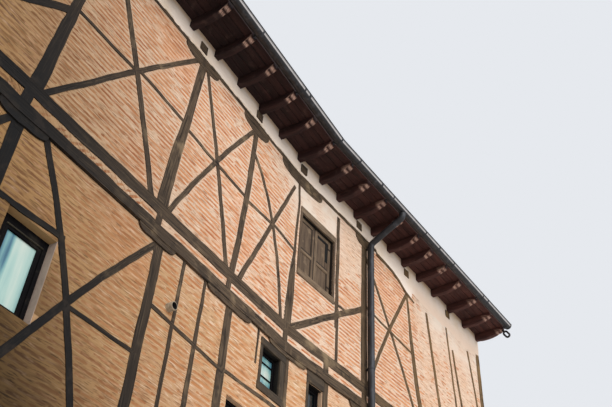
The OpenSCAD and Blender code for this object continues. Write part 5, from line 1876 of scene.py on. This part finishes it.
@dataclass
class Windows:
    """Every window of the house."""

    set_back: float = 0.075
    ground_set: float = 0.15
    rear_set: float = 0.08

    def build(self) -> None:
        """Builds the front windows, the rear windows and all the panes."""
        left, right = (WALLS[s] for s in FRONT)
        panes, wood, back = bmesh.new(), bmesh.new(), bmesh.new()
        two_lights = {"lights": 2, "bars": (0.5,)}
        stair_light = STAIR.inset(0.06, -0.002, 0.05, 0.03)
        for wall, place, set_back, frame_w, sash_w, looks in (
            (left, BEDROOM, 0.112, 0.05, 0.04,
             {"top_extra": 0.03, "left_extra": 0.05, "bead": True, "toning": bedroom_tone}),
            (left, stair_light, self.set_back, 0.02, 0.024,
             {"bars": (0.36, 0.78), "bar": 0.006, "toning": stair_tone}),
            (left, PANTRY, self.set_back, 0.04, 0.04, {"tone": 0.04}),
            (right, NARROW, self.set_back, 0.03, 0.03, {"toning": narrow_tone}),
            (right, CHAMBER, self.set_back, 0.045, 0.045, two_lights),
        ):
            Casement(wall, place, set_back, frame_w, sash_w, **looks).build(wood, panes)
        for wall, u in ((left, -5.4), (right, 1.2), (right, 4.3)):
            place = Opening(u, u + 1.1, 1.0, 2.4)
            Casement(wall, place, self.ground_set, 0.055, 0.05, 2, (0.33, 0.67)).build(wood, panes)
        finish_piece("front_casements", wood, FRAME_WOOD, "window_paint", "front_windows")
        for side in BACK:
            for o in OPENINGS[side] + [Opening(o.u0, o.u1, 1.0, 2.3) for o in OPENINGS[side][::2]]:
                Casement(WALLS[side], o, self.rear_set, **two_lights).build(back, panes)
        finish_piece("rear_casements", back, FRAME_WOOD, "window_paint", "rear_windows")
        finish_piece("window_panes", panes, GLASS, "glass", "window_glass")
        self.linings(left.matrix)
        self.stair_surround(left)
        self.narrow_surround(right.matrix)

    @staticmethod
    def linings(matrix: Matrix) -> None:
        """Builds the bedroom window's plastered reveals at its right and top.

        Args:
            matrix: From the wall's coordinates to the frame.
        """
        o = BEDROOM
        for name, low, high, look in (
            ("side", (o.u1 - 0.005, 0.014, o.z0), (o.u1 + 0.02, 0.112, o.z1), REVEAL),
            # The top reveal takes the darker lintel plaster, partly painted shade.
            ("top", (o.u0, 0.016, o.z1 - 0.006), (o.u1 - 0.005, 0.112, o.z1 + 0.02), LINTEL),
        ):
            bm = bmesh.new()
            box(bm, matrix, low, high)
            finish_piece(f"bedroom_{name}_reveal", bm, look, "render")

    @staticmethod
    def narrow_surround(matrix: Matrix) -> None:
        """Builds the narrow window's lintel, its left jamb and a line of painted shadow under the lintel.

        Args:
            matrix: From the wall's coordinates to the frame.
        """
        bm = bmesh.new()
        o = NARROW
        sticks(bm, matrix,
               ((o.u0 - 0.045, o.u1 + 0.03), (-0.006, 0.1), (o.z1, o.z1 + 0.19), 0.008),
               ((o.u0 - 0.045, o.u0 + 0.002), (-0.003, 0.1), (o.z0 - 0.06, o.z1 + 0.02), 0.006),
               ((o.u0, o.u1), (0.02, 0.1), (o.z1 - 0.006, o.z1 + 0.001), 0.002, 0.0, 0.9))
        finish_piece("narrow_window_surround", bm, SURROUND, "timber")

    @staticmethod
    def stair_surround(wall: Wall) -> None:
        """Builds the stair window's heavy timber surround, uneven from hewing.

        Args:
            wall: The wall.
        """
        bm = bmesh.new()
        o, i = STAIR_FRAME, Opening(-0.538, -0.122, 6.01, 6.51)
        sticks(bm, wall.matrix,
               ((o.u0, i.u0), (-0.004, 0.1), (o.z0 + 0.06, o.z1), 0.007),
               ((i.u1, o.u1), (-0.004, 0.1), (o.z0, o.z1 - 0.04), 0.007),
               ((o.u0 - 0.01, o.u1), (-0.012, 0.1), (o.z0, i.z0), 0.007),
               ((o.u0, o.u1), (-0.01, 0.1), (i.z1, o.z1), 0.007),
               # Painted shadow: near-black lines inside the surround at the right and the top of the light.
               ((i.u1 - 0.006, i.u1), (0.02, 0.1), (i.z0, i.z1), 0.002, 0.0, 0.9),
               ((i.u0, i.u1), (0.02, 0.1), (i.z1 - 0.006, i.z1), 0.002, 0.0, 0.9))
        cut(bm, bm.verts[:], wall.at(0, 0, 6.3), (0, 0, 1))
        for vert in bm.verts:
            push = ripple(vert.co, 0.15, 3.0) * 0.008
            vert.co += Vector((push, 0, ripple(vert.co, 0.18, 4.0) * 0.008))
        finish_piece("stair_window_surround", bm, SURROUND, "timber")


@dataclass
class Shutters:
    """The shuttered window: a worn frame and two framed leaves with sunk panels."""

    frame_out: float = 0.006
    frame_in: float = 0.13
    head: float = 0.085
    jamb: float = 0.05
    sill: float = 0.09
    set_back: float = 0.062
    leaf_t: float = 0.04
    groove: float = 0.026
    dark_strip: float = 0.066
    rebate: float = 0.018
    lock_share: float = 0.41
    stile: float = 0.062
    top: float = 0.07
    bottom: float = 0.085
    lock: float = 0.06

    def build(self) -> None:
        """Builds the frame and both leaves."""
        self.frame()
        o = SHUTTERED
        middle = (o.u0 + o.u1) / 2
        self.leaf("left", Opening(o.u0 + 0.008, middle - 0.002, o.z0 + 0.008, o.z1 - 0.02), False)
        self.leaf("right", Opening(middle + 0.002, o.u1 - 0.006, o.z0 + 0.008, o.z1 - 0.024), True)

    def frame(self) -> None:
        """Builds the outer frame, with painted shade on its inner faces and a near-black painted-shade strip
        in the gap behind the leaves.
        """
        o, y0, y1 = SHUTTERED, -self.frame_out, self.frame_in
        bm = bmesh.new()
        outer = (o.u0 - self.jamb, o.u1 + self.jamb)
        tall = (o.z0 - self.sill * 0.4, o.z1 + self.head * 0.5)
        behind = self.set_back + self.leaf_t
        sticks(bm, wing(True),
               ((outer[0], o.u0), (y0, y1), tall, 0.007),
               ((o.u1, outer[1]), (y0, y1), tall, 0.007),
               (outer, (y0 - 0.004, y1), (o.z1 - 0.035, o.z1 + self.head), 0.009, 0.6),
               (outer, (y0 - 0.008, y1), (o.z0 - self.sill, o.z0 + 0.012), 0.009, 0.5),
               # Painted shade: near-black strips on the frame's inner faces and one behind the leaves.
               ((o.u1 - 0.004, o.u1), (0.022, y1), (o.z0, o.z1), 0.002, 0.0, 0.92),
               ((o.u0, o.u0 + 0.004), (0.022, y1), (o.z0, o.z1), 0.002, 0.0, 0.92),
               ((o.u0, o.u1), (0.02, y1), (o.z1 - 0.039, o.z1 - 0.034), 0.002, 0.0, 0.92),
               ((o.u0, o.u1), (behind + 0.004, behind + 0.01), (o.z0, o.z1), 0.002, 0.0, 1.0))
        self.age(bm, 0.005)
        finish_piece("shutter_surround", bm, SHUTTER_WOOD, "shutter_wood", "shutter_frame")

    def leaf(self, side: str, o: Opening, wide: bool) -> None:
        """Builds one leaf: stiles, rails, sunk panels and its hinges.

        Args:
            side: Which leaf it is.
            o: Its outline.
            wide: Whether it has no rebate and a wide painted-shadow strip in its upper panel.
        """
        bm = bmesh.new()
        y0, y1 = self.set_back, self.set_back + self.leaf_t
        z_lock = mix(o.z0, o.z1, self.lock_share)
        rebate = 0.0 if wide else self.rebate
        left, right = o.u0 + self.stile, o.u1 - self.stile
        across, sunk = (left, right), y0 + 0.033
        lower, upper = (o.z0 + self.bottom, z_lock - self.lock / 2), (z_lock + self.lock / 2, o.z1 - self.top)
        rows = [((o.u0, left), (y0, y1), (o.z0, o.z1), 0.005, 0.45 if wide else 0.0),
                ((right, o.u1 - rebate), (y0, y1), (o.z0, o.z1), 0.005, 0.2)]
        if rebate:
            # Painted shade: the rebate's strip is near black.
            rows.append(((o.u1 - rebate, o.u1), (y0 + 0.006, y1), (o.z0, o.z1), 0.002, 0.0, 0.85))
        rows += [(across, (y0 + 0.001, y1), z, 0.005, wear) for z, wear in (
            ((o.z0, lower[0]), 0.1), ((lower[1], upper[0]), 0.15), ((upper[1], o.z1), 0.5))]
        rows.append((across, (y0 - 0.003, y0 + 0.006), (z_lock - 0.01, z_lock + 0.008), 0.003, 0.8))
        for z0, z1 in (lower, upper):
            on_top = z0 > z_lock
            broad = on_top and wide
            strip = self.dark_strip if broad else self.groove
            over = strip * 0.7 if broad else self.groove * 0.6
            black = 1.0 if broad else 0.7
            low = mix(z0, z1, 0.28) if broad else z0
            board = (z0 + 0.001, z1 - over * on_top)
            # Painted shade: each panel's back and side strip, and the upper panels' top and bottom strips,
            # are darkened towards black.
            rows += [(across, (y0 + 0.034, y1 - 0.002), (z0, z1), 0.002, 0.0, 1.0),
                     ((left + 0.001, right - strip), (y0 + 0.012, sunk), board, 0.004, 0.1),
                     ((right - strip, right), (y0 + 0.006, sunk), (low, z1), 0.001, 0.0, black)]
            if broad:
                rows.append(((right - strip, right), (y0 + 0.009, sunk), (z0, low), 0.001))
            if on_top:
                rows += [((left + 0.02, right), (y0 + 0.005, sunk), (z1 - over, z1), 0.001, 0.0, black),
                         ((left, right - 0.02), (y0 + 0.003, sunk), (z0, z0 + 0.024), 0.001, 0.0, 0.75)]
        # The hinges' darkness is the dark of iron.
        hinge = (o.u1 - 0.07, o.u1) if wide else (o.u0, o.u0 + 0.07)
        rows += [(hinge, (y0 - 0.005, y0 + 0.001), (z - 0.014, z + 0.014), 0.002, 0.0, 0.75)
                 for z in (mix(o.z0, o.z1, 0.16), mix(o.z0, o.z1, 0.84))]
        sticks(bm, wing(True), *rows)
        self.age(bm, 0.0025)
        finish_piece(f"{side}_shutter_leaf", bm, SHUTTER_WOOD, "shutter_wood", f"{side}_shutter")

    @staticmethod
    def age(bm: BMesh, size: float) -> None:
        """Moves the points a little, as old joinery warps.

        Args:
            bm: The mesh.
            size: How far they move at most.
        """
        for vert in bm.verts:
            spot = vert.co
            vert.co = spot + size * Vector((ripple(spot, 0.3, 6.0), 0.3 * ripple(spot, 0.4, 7.0),
                                            ripple(spot, 0.3, 8.0)))


# Roof, plaster and fittings

@dataclass
class TiledRoof:
    """One slope of barrel tiles over a deck, on both wings."""

    back: bool
    pitch: float = 0.215
    exposed: float = 0.31
    deck: float = 0.1
    trough: float = 0.124
    trough_dip: float = 0.012
    crest: float = 0.163
    half_cover: float = 0.29
    step: float = 0.014
    ridge_len: float = 0.38

    profile = (0.0, 0.1, 0.21, 0.23, 0.3, 0.4, 0.5, 0.6, 0.7, 0.77, 0.79, 0.9)

    def build(self) -> None:
        """Builds the deck and the tiles."""
        side = "back" if self.back else "front"
        h = HOUSE
        bm = bmesh.new()
        luck = layer(bm, "luck")
        for right in WINGS:
            self.tiles(bm, luck, right)
        if not self.back:
            self.ridge(bm, luck)
        rise = self.deck / math.cos(h.roof_slope)
        near, far = -h.eave_out, h.depth / 2
        outline = [(y, h.roof_under(y) + up) for y, up in ((near, 0), (far, 0), (far, rise), (near, rise))]
        sweep(bm, h.flipped(outline, self.back), run_stations(-h.left_len, h.right_len + h.verge))
        finish_piece(f"{side}_tiles", bm, TILE, "roof_tile", f"{side}_roof", crease=40)

    def height(self, across: float) -> float:
        """The tiles' height over the slope's underside at a share across one pitch.

        Args:
            across: The share, from 0 to 1.

        Returns:
            The height in metres.
        """
        off = abs(across - 0.5)
        cover = math.sqrt(max(0.0, 1 - (off / self.half_cover) ** 2))
        if cover > 0:
            return mix(self.trough, self.crest, cover)
        side = min((off - self.half_cover) / (0.5 - self.half_cover), 1.0)
        return self.trough - self.trough_dip * math.sin(side * math.pi / 2)

    def reach(self, right: bool) -> Spot:
        """Where a wing's tiles start and end, before they are cut at the bend.

        Args:
            right: Whether it is the right wing.

        Returns:
            The start and the end along the wing.
        """
        h = HOUSE
        over = h.depth * h.mitre
        if not right:
            return -h.left_len, over + 0.1 if self.back else over / 2 + 0.15
        return -0.75 * over - 1.0 if self.back else -over / 2 - 0.15, h.right_len + h.verge

    def tiles(self, bm: BMesh, luck: object, right: bool) -> None:
        """Lays one wing's tiles as a stepped, ridged sheet with its rim folded down to the deck.

        Args:
            bm: The mesh.
            luck: The layer of the shades.
            right: Whether it is the right wing.
        """
        h = HOUSE
        across, up = math.cos(h.roof_slope), math.sin(h.roof_slope)
        run = (h.depth / 2 + h.eave_out) / across
        rows = round(run / self.exposed)
        u0, u1 = self.reach(right)
        count = round((u1 - u0) / self.pitch)
        columns, lines = count * len(self.profile), 2 * rows - 1
        grid = bmesh.ops.create_grid(bm, x_segments=columns, y_segments=lines, size=0.5)["verts"]
        for vert in grid:
            tile, place = divmod(round((vert.co.x + 0.5) * columns), len(self.profile))
            line = round((vert.co.y + 0.5) * lines)
            row, upper = divmod(line, 2)
            share = self.profile[place]
            seed = Vector((tile * 1.7, row * 2.3, 5.0 if right else 1.0))
            lift = self.height(share) + self.step * (1 - upper) + 0.004 * noise.noise(seed * 1.9)
            u = min(u0 + (tile + share) * (u1 - u0) / count, u1)
            along = (row + upper) * run / rows + 0.012 * noise.noise(seed * 2.3) * (0 < line < lines)
            along = min(max(along, 0.0), run)
            y = max(min(-h.eave_out + along * across - lift * up, h.depth / 2), -h.eave_out)
            z = h.z_roof + along * up + lift * across
            vert[luck] = 0.5 + 0.5 * noise.noise(seed * 3.1)
            vert.co = wing(right) @ Vector((u, h.depth - y if self.back else y, z))
        faces = faces_of(grid)
        if self.back:
            bmesh.ops.reverse_faces(bm, faces=faces)
        rim = [e for e in edges_of(grid) if len(e.link_faces) == 1]
        folded = only(BMVert, bmesh.ops.extrude_edge_only(bm, edges=rim)["geom"])
        for vert in folded:
            inner = h.out((wing(right).inverted() @ vert.co).y) - h.eave_out
            vert.co.z = h.roof_under(inner) + (self.deck - 0.004) / across
        normal = Vector((math.cos(h.bend / 2), -math.sin(h.bend / 2), 0)) * (-1 if right else 1)
        cut(bm, grid + folded, (0, h.face_y, 0), normal, True)

    def ridge(self, bm: BMesh, luck: object) -> None:
        """Lays the ridge tiles.

        Args:
            bm: The mesh.
            luck: The layer of the shades.
        """
        h = HOUSE
        middle = h.depth / 2
        centre = (middle, h.roof_under(middle) + h.roof_t / math.cos(h.roof_slope) - 0.102)
        bend_u = middle * h.mitre
        for right, u0, u1 in ((False, -h.left_len, bend_u), (True, bend_u, h.right_len + h.verge)):
            count = round((u1 - u0) / self.ridge_len)
            for i in range(count):
                a, b = (mix(u0, u1, j / count) for j in (i, i + 1))
                thin = 0.006 * (i % 2)
                outline = arc(centre, 0.1 - thin, 0, 180, 8) + arc(centre, 0.084 - thin, 180, 0, 8)
                for vert in sweep(bm, outline, [in_plane(right, u) for u in (a - 0.02 * (i > 0), b)]):
                    vert[luck] = 0.5 + 0.5 * noise.noise(Vector((i * 3.7, 9.0, float(right))))


@dataclass
class PlasterBand:
    """The cream plaster under the eave, with a ragged lower edge over the wall plate."""

    out: float = 0.0085
    inner: float = 0.006
    cell: float = 0.04
    rows: int = 10
    dip: float = 0.02
    sagging: Sequence[Spot] = ((2.3, 9.812), (2.55, 9.80), (2.85, 9.765), (3.06, 9.703), (3.2, 9.64),
                               (3.32, 9.585), (3.45, 9.56), (3.6, 9.535))
    strip: float = 0.058
    steps: int = 32

    def build(self) -> None:
        """Builds the band's skin on both front walls and the sagging timber below it."""
        for side in FRONT:
            self.skin(WALLS[side])
        self.sagging_plate(WALLS[Side.RIGHT_FRONT])

    def sag(self, u: float) -> float:
        """Height of the middle of the sagging timber's edge."""
        return float(np.interp(u, *zip(*self.sagging)))

    def low(self, u: float, right: bool) -> float:
        """Height of the plaster's lower edge.

        Args:
            u: Place along the wall.
            right: Whether it is the right wing.

        Returns:
            The height in metres.
        """
        spot = (u, 0, 0)
        low = HOUSE.z_eave_band - self.dip * (0.6 + ripple(spot, 0.25, 2.0) + 0.6 * ripple(spot, 0.07, 3.0))
        if not right or u < self.sagging[0][0]:
            return low
        if u < self.sagging[-1][0] - 0.05:
            return min(low, self.sag(u) + self.strip * 0.4)
        return HOUSE.z_plate - 0.16 + 0.09 * ripple(spot, 0.7, 6.0) + 0.05 * ripple(spot, 0.16, 7.0)

    def skin(self, wall: Wall) -> None:
        """Builds one wall's plaster.

        Args:
            wall: The wall.
        """
        right = wall.side is Side.RIGHT_FRONT
        bm = bmesh.new()
        columns = math.ceil((wall.u1 - wall.u0) / self.cell)
        fade = layer(bm, "fade")
        for vert in bmesh.ops.create_grid(bm, x_segments=columns, y_segments=self.rows, size=0.5)["verts"]:
            u, share = mix(wall.u0, wall.u1, vert.co.x + 0.5), vert.co.y + 0.5
            z = mix(self.low(u, right), HOUSE.z_eave, share)
            wave = ripple((u, z, 0), 0.3, 4.0) * 0.002 + ripple((u, z, 0), 0.09, 5.0) * 0.001
            far = ease(3.4, 3.8, u) if right else 0.0
            rise = mix(1.0, ease(0.0, 0.45, share), far) if share > 0.01 else 0.0
            vert[fade] = far * (1 - ease(0.1, 0.7, share))
            vert.co = wall.at(u, mix(self.inner, wave - self.out, rise), z)
        finish_piece(f"{wall.side.value}_eave_plaster", bm, CREAM, "lime_plaster", crease=60)

    def sagging_plate(self, wall: Wall) -> None:
        """Builds the lower edge of the timber that sags out of the plaster beyond the downpipe.

        Args:
            wall: The wall.
        """
        bm = bmesh.new()
        stations = []
        for i in range(self.steps + 1):
            u = mix(self.sagging[0][0], self.sagging[-1][0], i / self.steps)
            z = self.sag(u) + 0.004 * ripple((u, 0, 0), 0.09, 2.0)
            size = Matrix.Diagonal((1, 1 - 0.6 * ease(0.8, 1.0, i / self.steps), 1, 1))
            stations.append(in_plane(True, u, 0, z) @ size)
        half = self.strip / 2
        lower = [(-0.011, -half + 0.006), (-0.005, -half), (0.03, -half)]
        sweep(bm, lower + [(y, -z) for y, z in reversed(lower)], stations)
        lay_uv(bm, "grain", bm.faces, lambda point: tuple(wall.local(point).xz))
        finish_piece("sagging_plate_edge", bm, TIMBER, "timber")


@dataclass
class Fittings:
    """The iron ring, the vent and the door."""

    ring_u: float = 6.2575
    ring_r: float = 0.04
    ring_rod: float = 0.02
    ring_lean: float = math.radians(-33)
    vent_u: float = -2.328
    vent_z: float = HOUSE.z_lower + 2.054
    vent_r: float = 0.05
    vent_bore: float = 0.041
    vent_out: float = 0.09
    planks: int = 5
    ledge_t: float = 0.022

    def build(self) -> None:
        """Builds each small piece."""
        self.ring()
        self.vent(WALLS[Side.LEFT_FRONT])
        self.door()

    def ring(self) -> None:
        """A long iron ring that leans outwards from the last bracket's tip."""
        bm = bmesh.new()
        top = (wing(True) @ Matrix.Translation((self.ring_u, -0.612, HOUSE.z_eave - 0.078))
               @ Matrix.Rotation(self.ring_lean, 4, "X"))
        upper, lower = (0, -0.09), (0, -0.165)
        run = arc(upper, self.ring_r, 90, 0, 6) + arc(lower, self.ring_r, 0, -180, 12)
        run += arc(upper, self.ring_r, 180, 90, 6)[:-1]
        stations = [top @ s for s in tangents([Vector((0, y, z)) for y, z in run], True)]
        sweep(bm, arc((0, 0), self.ring_rod, 0, 330, 11), stations + stations[:1])
        bmesh.ops.remove_doubles(bm, verts=bm.verts, dist=0.0008)
        sticks(bm, top, ((-0.021, 0.021), (-0.024, 0.024), (-0.06, 0.03)))
        finish_piece("hanging_ring", bm, IRON, "iron", "iron_ring", crease=50)

    def vent(self, wall: Wall) -> None:
        """A stub of clay pipe with a pale worn rim and a bore painted dark as shade.

        Args:
            wall: The wall.
        """
        bm = bmesh.new()
        u, z, rim, bore = self.vent_u, self.vent_z, -self.vent_out, self.vent_bore
        profile = ((bore, 0.012), (bore, rim + 0.015), (bore + 0.002, rim + 0.012), (0.048, rim + 0.012),
                   (self.vent_r, rim + 0.016), (self.vent_r, 0.012))
        lathe(bm, [wall.at(u + r, y, z) for r, y in profile], wall.at(u, 0, z), wall.outward, False)
        for vert in bmesh.ops.create_circle(bm, cap_ends=True, segments=28, radius=0.0395)["verts"]:
            vert.co = wall.at(u + vert.co.x, 0.004, z + vert.co.y)
        # Painted shade: the bore and the disc at its bottom are marked near black.
        shade_and_iron = layer(bm, "shade_and_iron")
        for vert in bm.verts:
            spot = wall.local(vert.co)
            vert[shade_and_iron] = float(math.hypot(spot.x - u, spot.z - z) < bore + 0.001)
        bmesh.ops.recalc_face_normals(bm, faces=bm.faces)
        finish_piece("vent_stub", bm, PIPE_CLAY, "clay_pipe", "vent_pipe")

    def door(self) -> None:
        """A door of upright planks on three ledges, standing open into the house."""
        low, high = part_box("door")
        face = high.x - self.ledge_t
        rows = []
        for i in range(self.planks):
            a, b = (mix(low.y, high.y, j / self.planks) for j in (i, i + 1))
            wear = 0.2 * (i % 2)
            rows.append(((low.x + 0.002, face), (a + 0.001, b - 0.001), (low.z, high.z), 0.004, wear))
        for z in (mix(low.z, high.z, share) for share in (0.08, 0.46, 0.84)):
            rows.append(((face, high.x), (low.y + 0.03, high.y - 0.03), (z, z + 0.14)))
        bm = bmesh.new()
        sticks(bm, Matrix.Identity(4), *rows)
        finish_piece("plank_door", bm, DOOR_WOOD, "door_wood", "door")


# Floor, light and camera

@dataclass
class Stage:
    """The floor, the light and the camera."""

    place: tuple[float, float, float] = (-7.396, -5.075, 1.6)
    right: tuple[float, float, float] = (0.49804, -0.86563, 0.05146)
    down: tuple[float, float, float] = (0.58908, 0.29418, -0.75262)
    ahead: tuple[float, float, float] = (0.63635, 0.40515, 0.65644)
    lens: float = 45.02
    sensor: float = 36.0
    floor_size: float = 60.0
    floor_colour: str = "dedcd8"
    sky_colour: str = "e6e9ee"
    daylight_colour: str = "f4f3f2"
    daylight: float = 0.62
    lamp_data: Sequence[tuple] = (("street_lamp", 1.9, 50, (0.25, 1.0, -0.42)),
                                  ("back_lamp", 1.1, 60, (-0.6, -0.8, -0.55)))

    def build(self) -> None:
        """Sets the stage."""
        self.camera()
        self.floor()
        self.world()
        self.lamps()
        bpy.context.scene.view_settings.view_transform = "Standard"

    @staticmethod
    def link(name: str, data: bpy.types.ID) -> bpy.types.Object:
        """Puts an object with this data into the scene.

        Args:
            name: Its name.
            data: The data.

        Returns:
            The object.
        """
        made = bpy.data.objects.new(name, data)
        bpy.context.scene.collection.objects.link(made)
        return made

    def camera(self) -> None:
        """Places the camera as the photograph shows the house."""
        data = bpy.data.cameras.new("camera")
        data.lens, data.sensor_width, data.clip_end = self.lens, self.sensor, 200.0
        turn = Matrix((Vector(self.right), -Vector(self.down), -Vector(self.ahead))).transposed().to_4x4()
        camera = self.link("camera", data)
        camera.matrix_world = Matrix.Translation(self.place) @ turn
        bpy.context.scene.camera = camera

    def floor(self) -> None:
        """Lays a plain pale floor."""
        bm = bmesh.new()
        bmesh.ops.create_grid(bm, x_segments=1, y_segments=1, size=self.floor_size)
        mesh = bpy.data.meshes.new("floor")
        bm.to_mesh(mesh)
        bm.free()
        mesh.materials.append(Board("pale_floor").finish(shade(self.floor_colour), 0.95))
        floor = self.link("floor", mesh)

    def world(self) -> None:
        """Surrounds the house with soft light and a pale background."""
        world = bpy.data.worlds.new("pale_sky")
        sheet = Sheet(world)
        camera, glossy, through = (sheet.add("ShaderNodeLightPath", output=f"Is {kind} Ray")
                                   for kind in ("Camera", "Glossy", "Transmission"))
        skies = ((self.daylight_colour, self.daylight), (self.sky_colour, 1.0))
        light, seen = (sheet.add("ShaderNodeBackground", {}, {"Color": shade(code), "Strength": strength})
                       for code, strength in skies)
        mirrored = camera.most(glossy.most(through))
        either = sheet.add("ShaderNodeMixShader", {}, {0: mirrored, 1: light, 2: seen})
        sheet.add("ShaderNodeOutputWorld", {}, {"Surface": either})
        bpy.context.scene.world = world

    def lamps(self) -> None:
        """Adds one wide soft lamp from the street and a weak one from behind."""
        for name, strength, angle, direction in self.lamp_data:
            data = bpy.data.lights.new(name, "SUN")
            data.energy, data.angle = strength, math.radians(angle)
            self.link(name, data).rotation_euler = Vector(direction).to_track_quat("-Z", "Y").to_euler()


def dress_plain() -> None:
    """Gives the solids that stay shown their finishes."""
    dress(RENDER, "front_ground_wall", "back_ground_wall", "gable_ground_wall", "party_wall")
    dress(TIMBER, "ridge_beam")
    dress(FRAME_WOOD, "door_frame")
    dress(FLOOR_WOOD, "first_floor", "second_floor")


def main() -> None:
    """Builds the house's surfaces and its stage."""
    logging.basicConfig(level=logging.INFO, format="%(message)s")
    Stage().build()
    for piece in (Infill(cover_tree()), Frame(), Eave(), PlasterBand(), Rainwater(), Windows(), Shutters(),
                  TiledRoof(False), TiledRoof(True), Fittings()):
        piece.build()
    dress_plain()


if __name__ == "__main__":
    main()
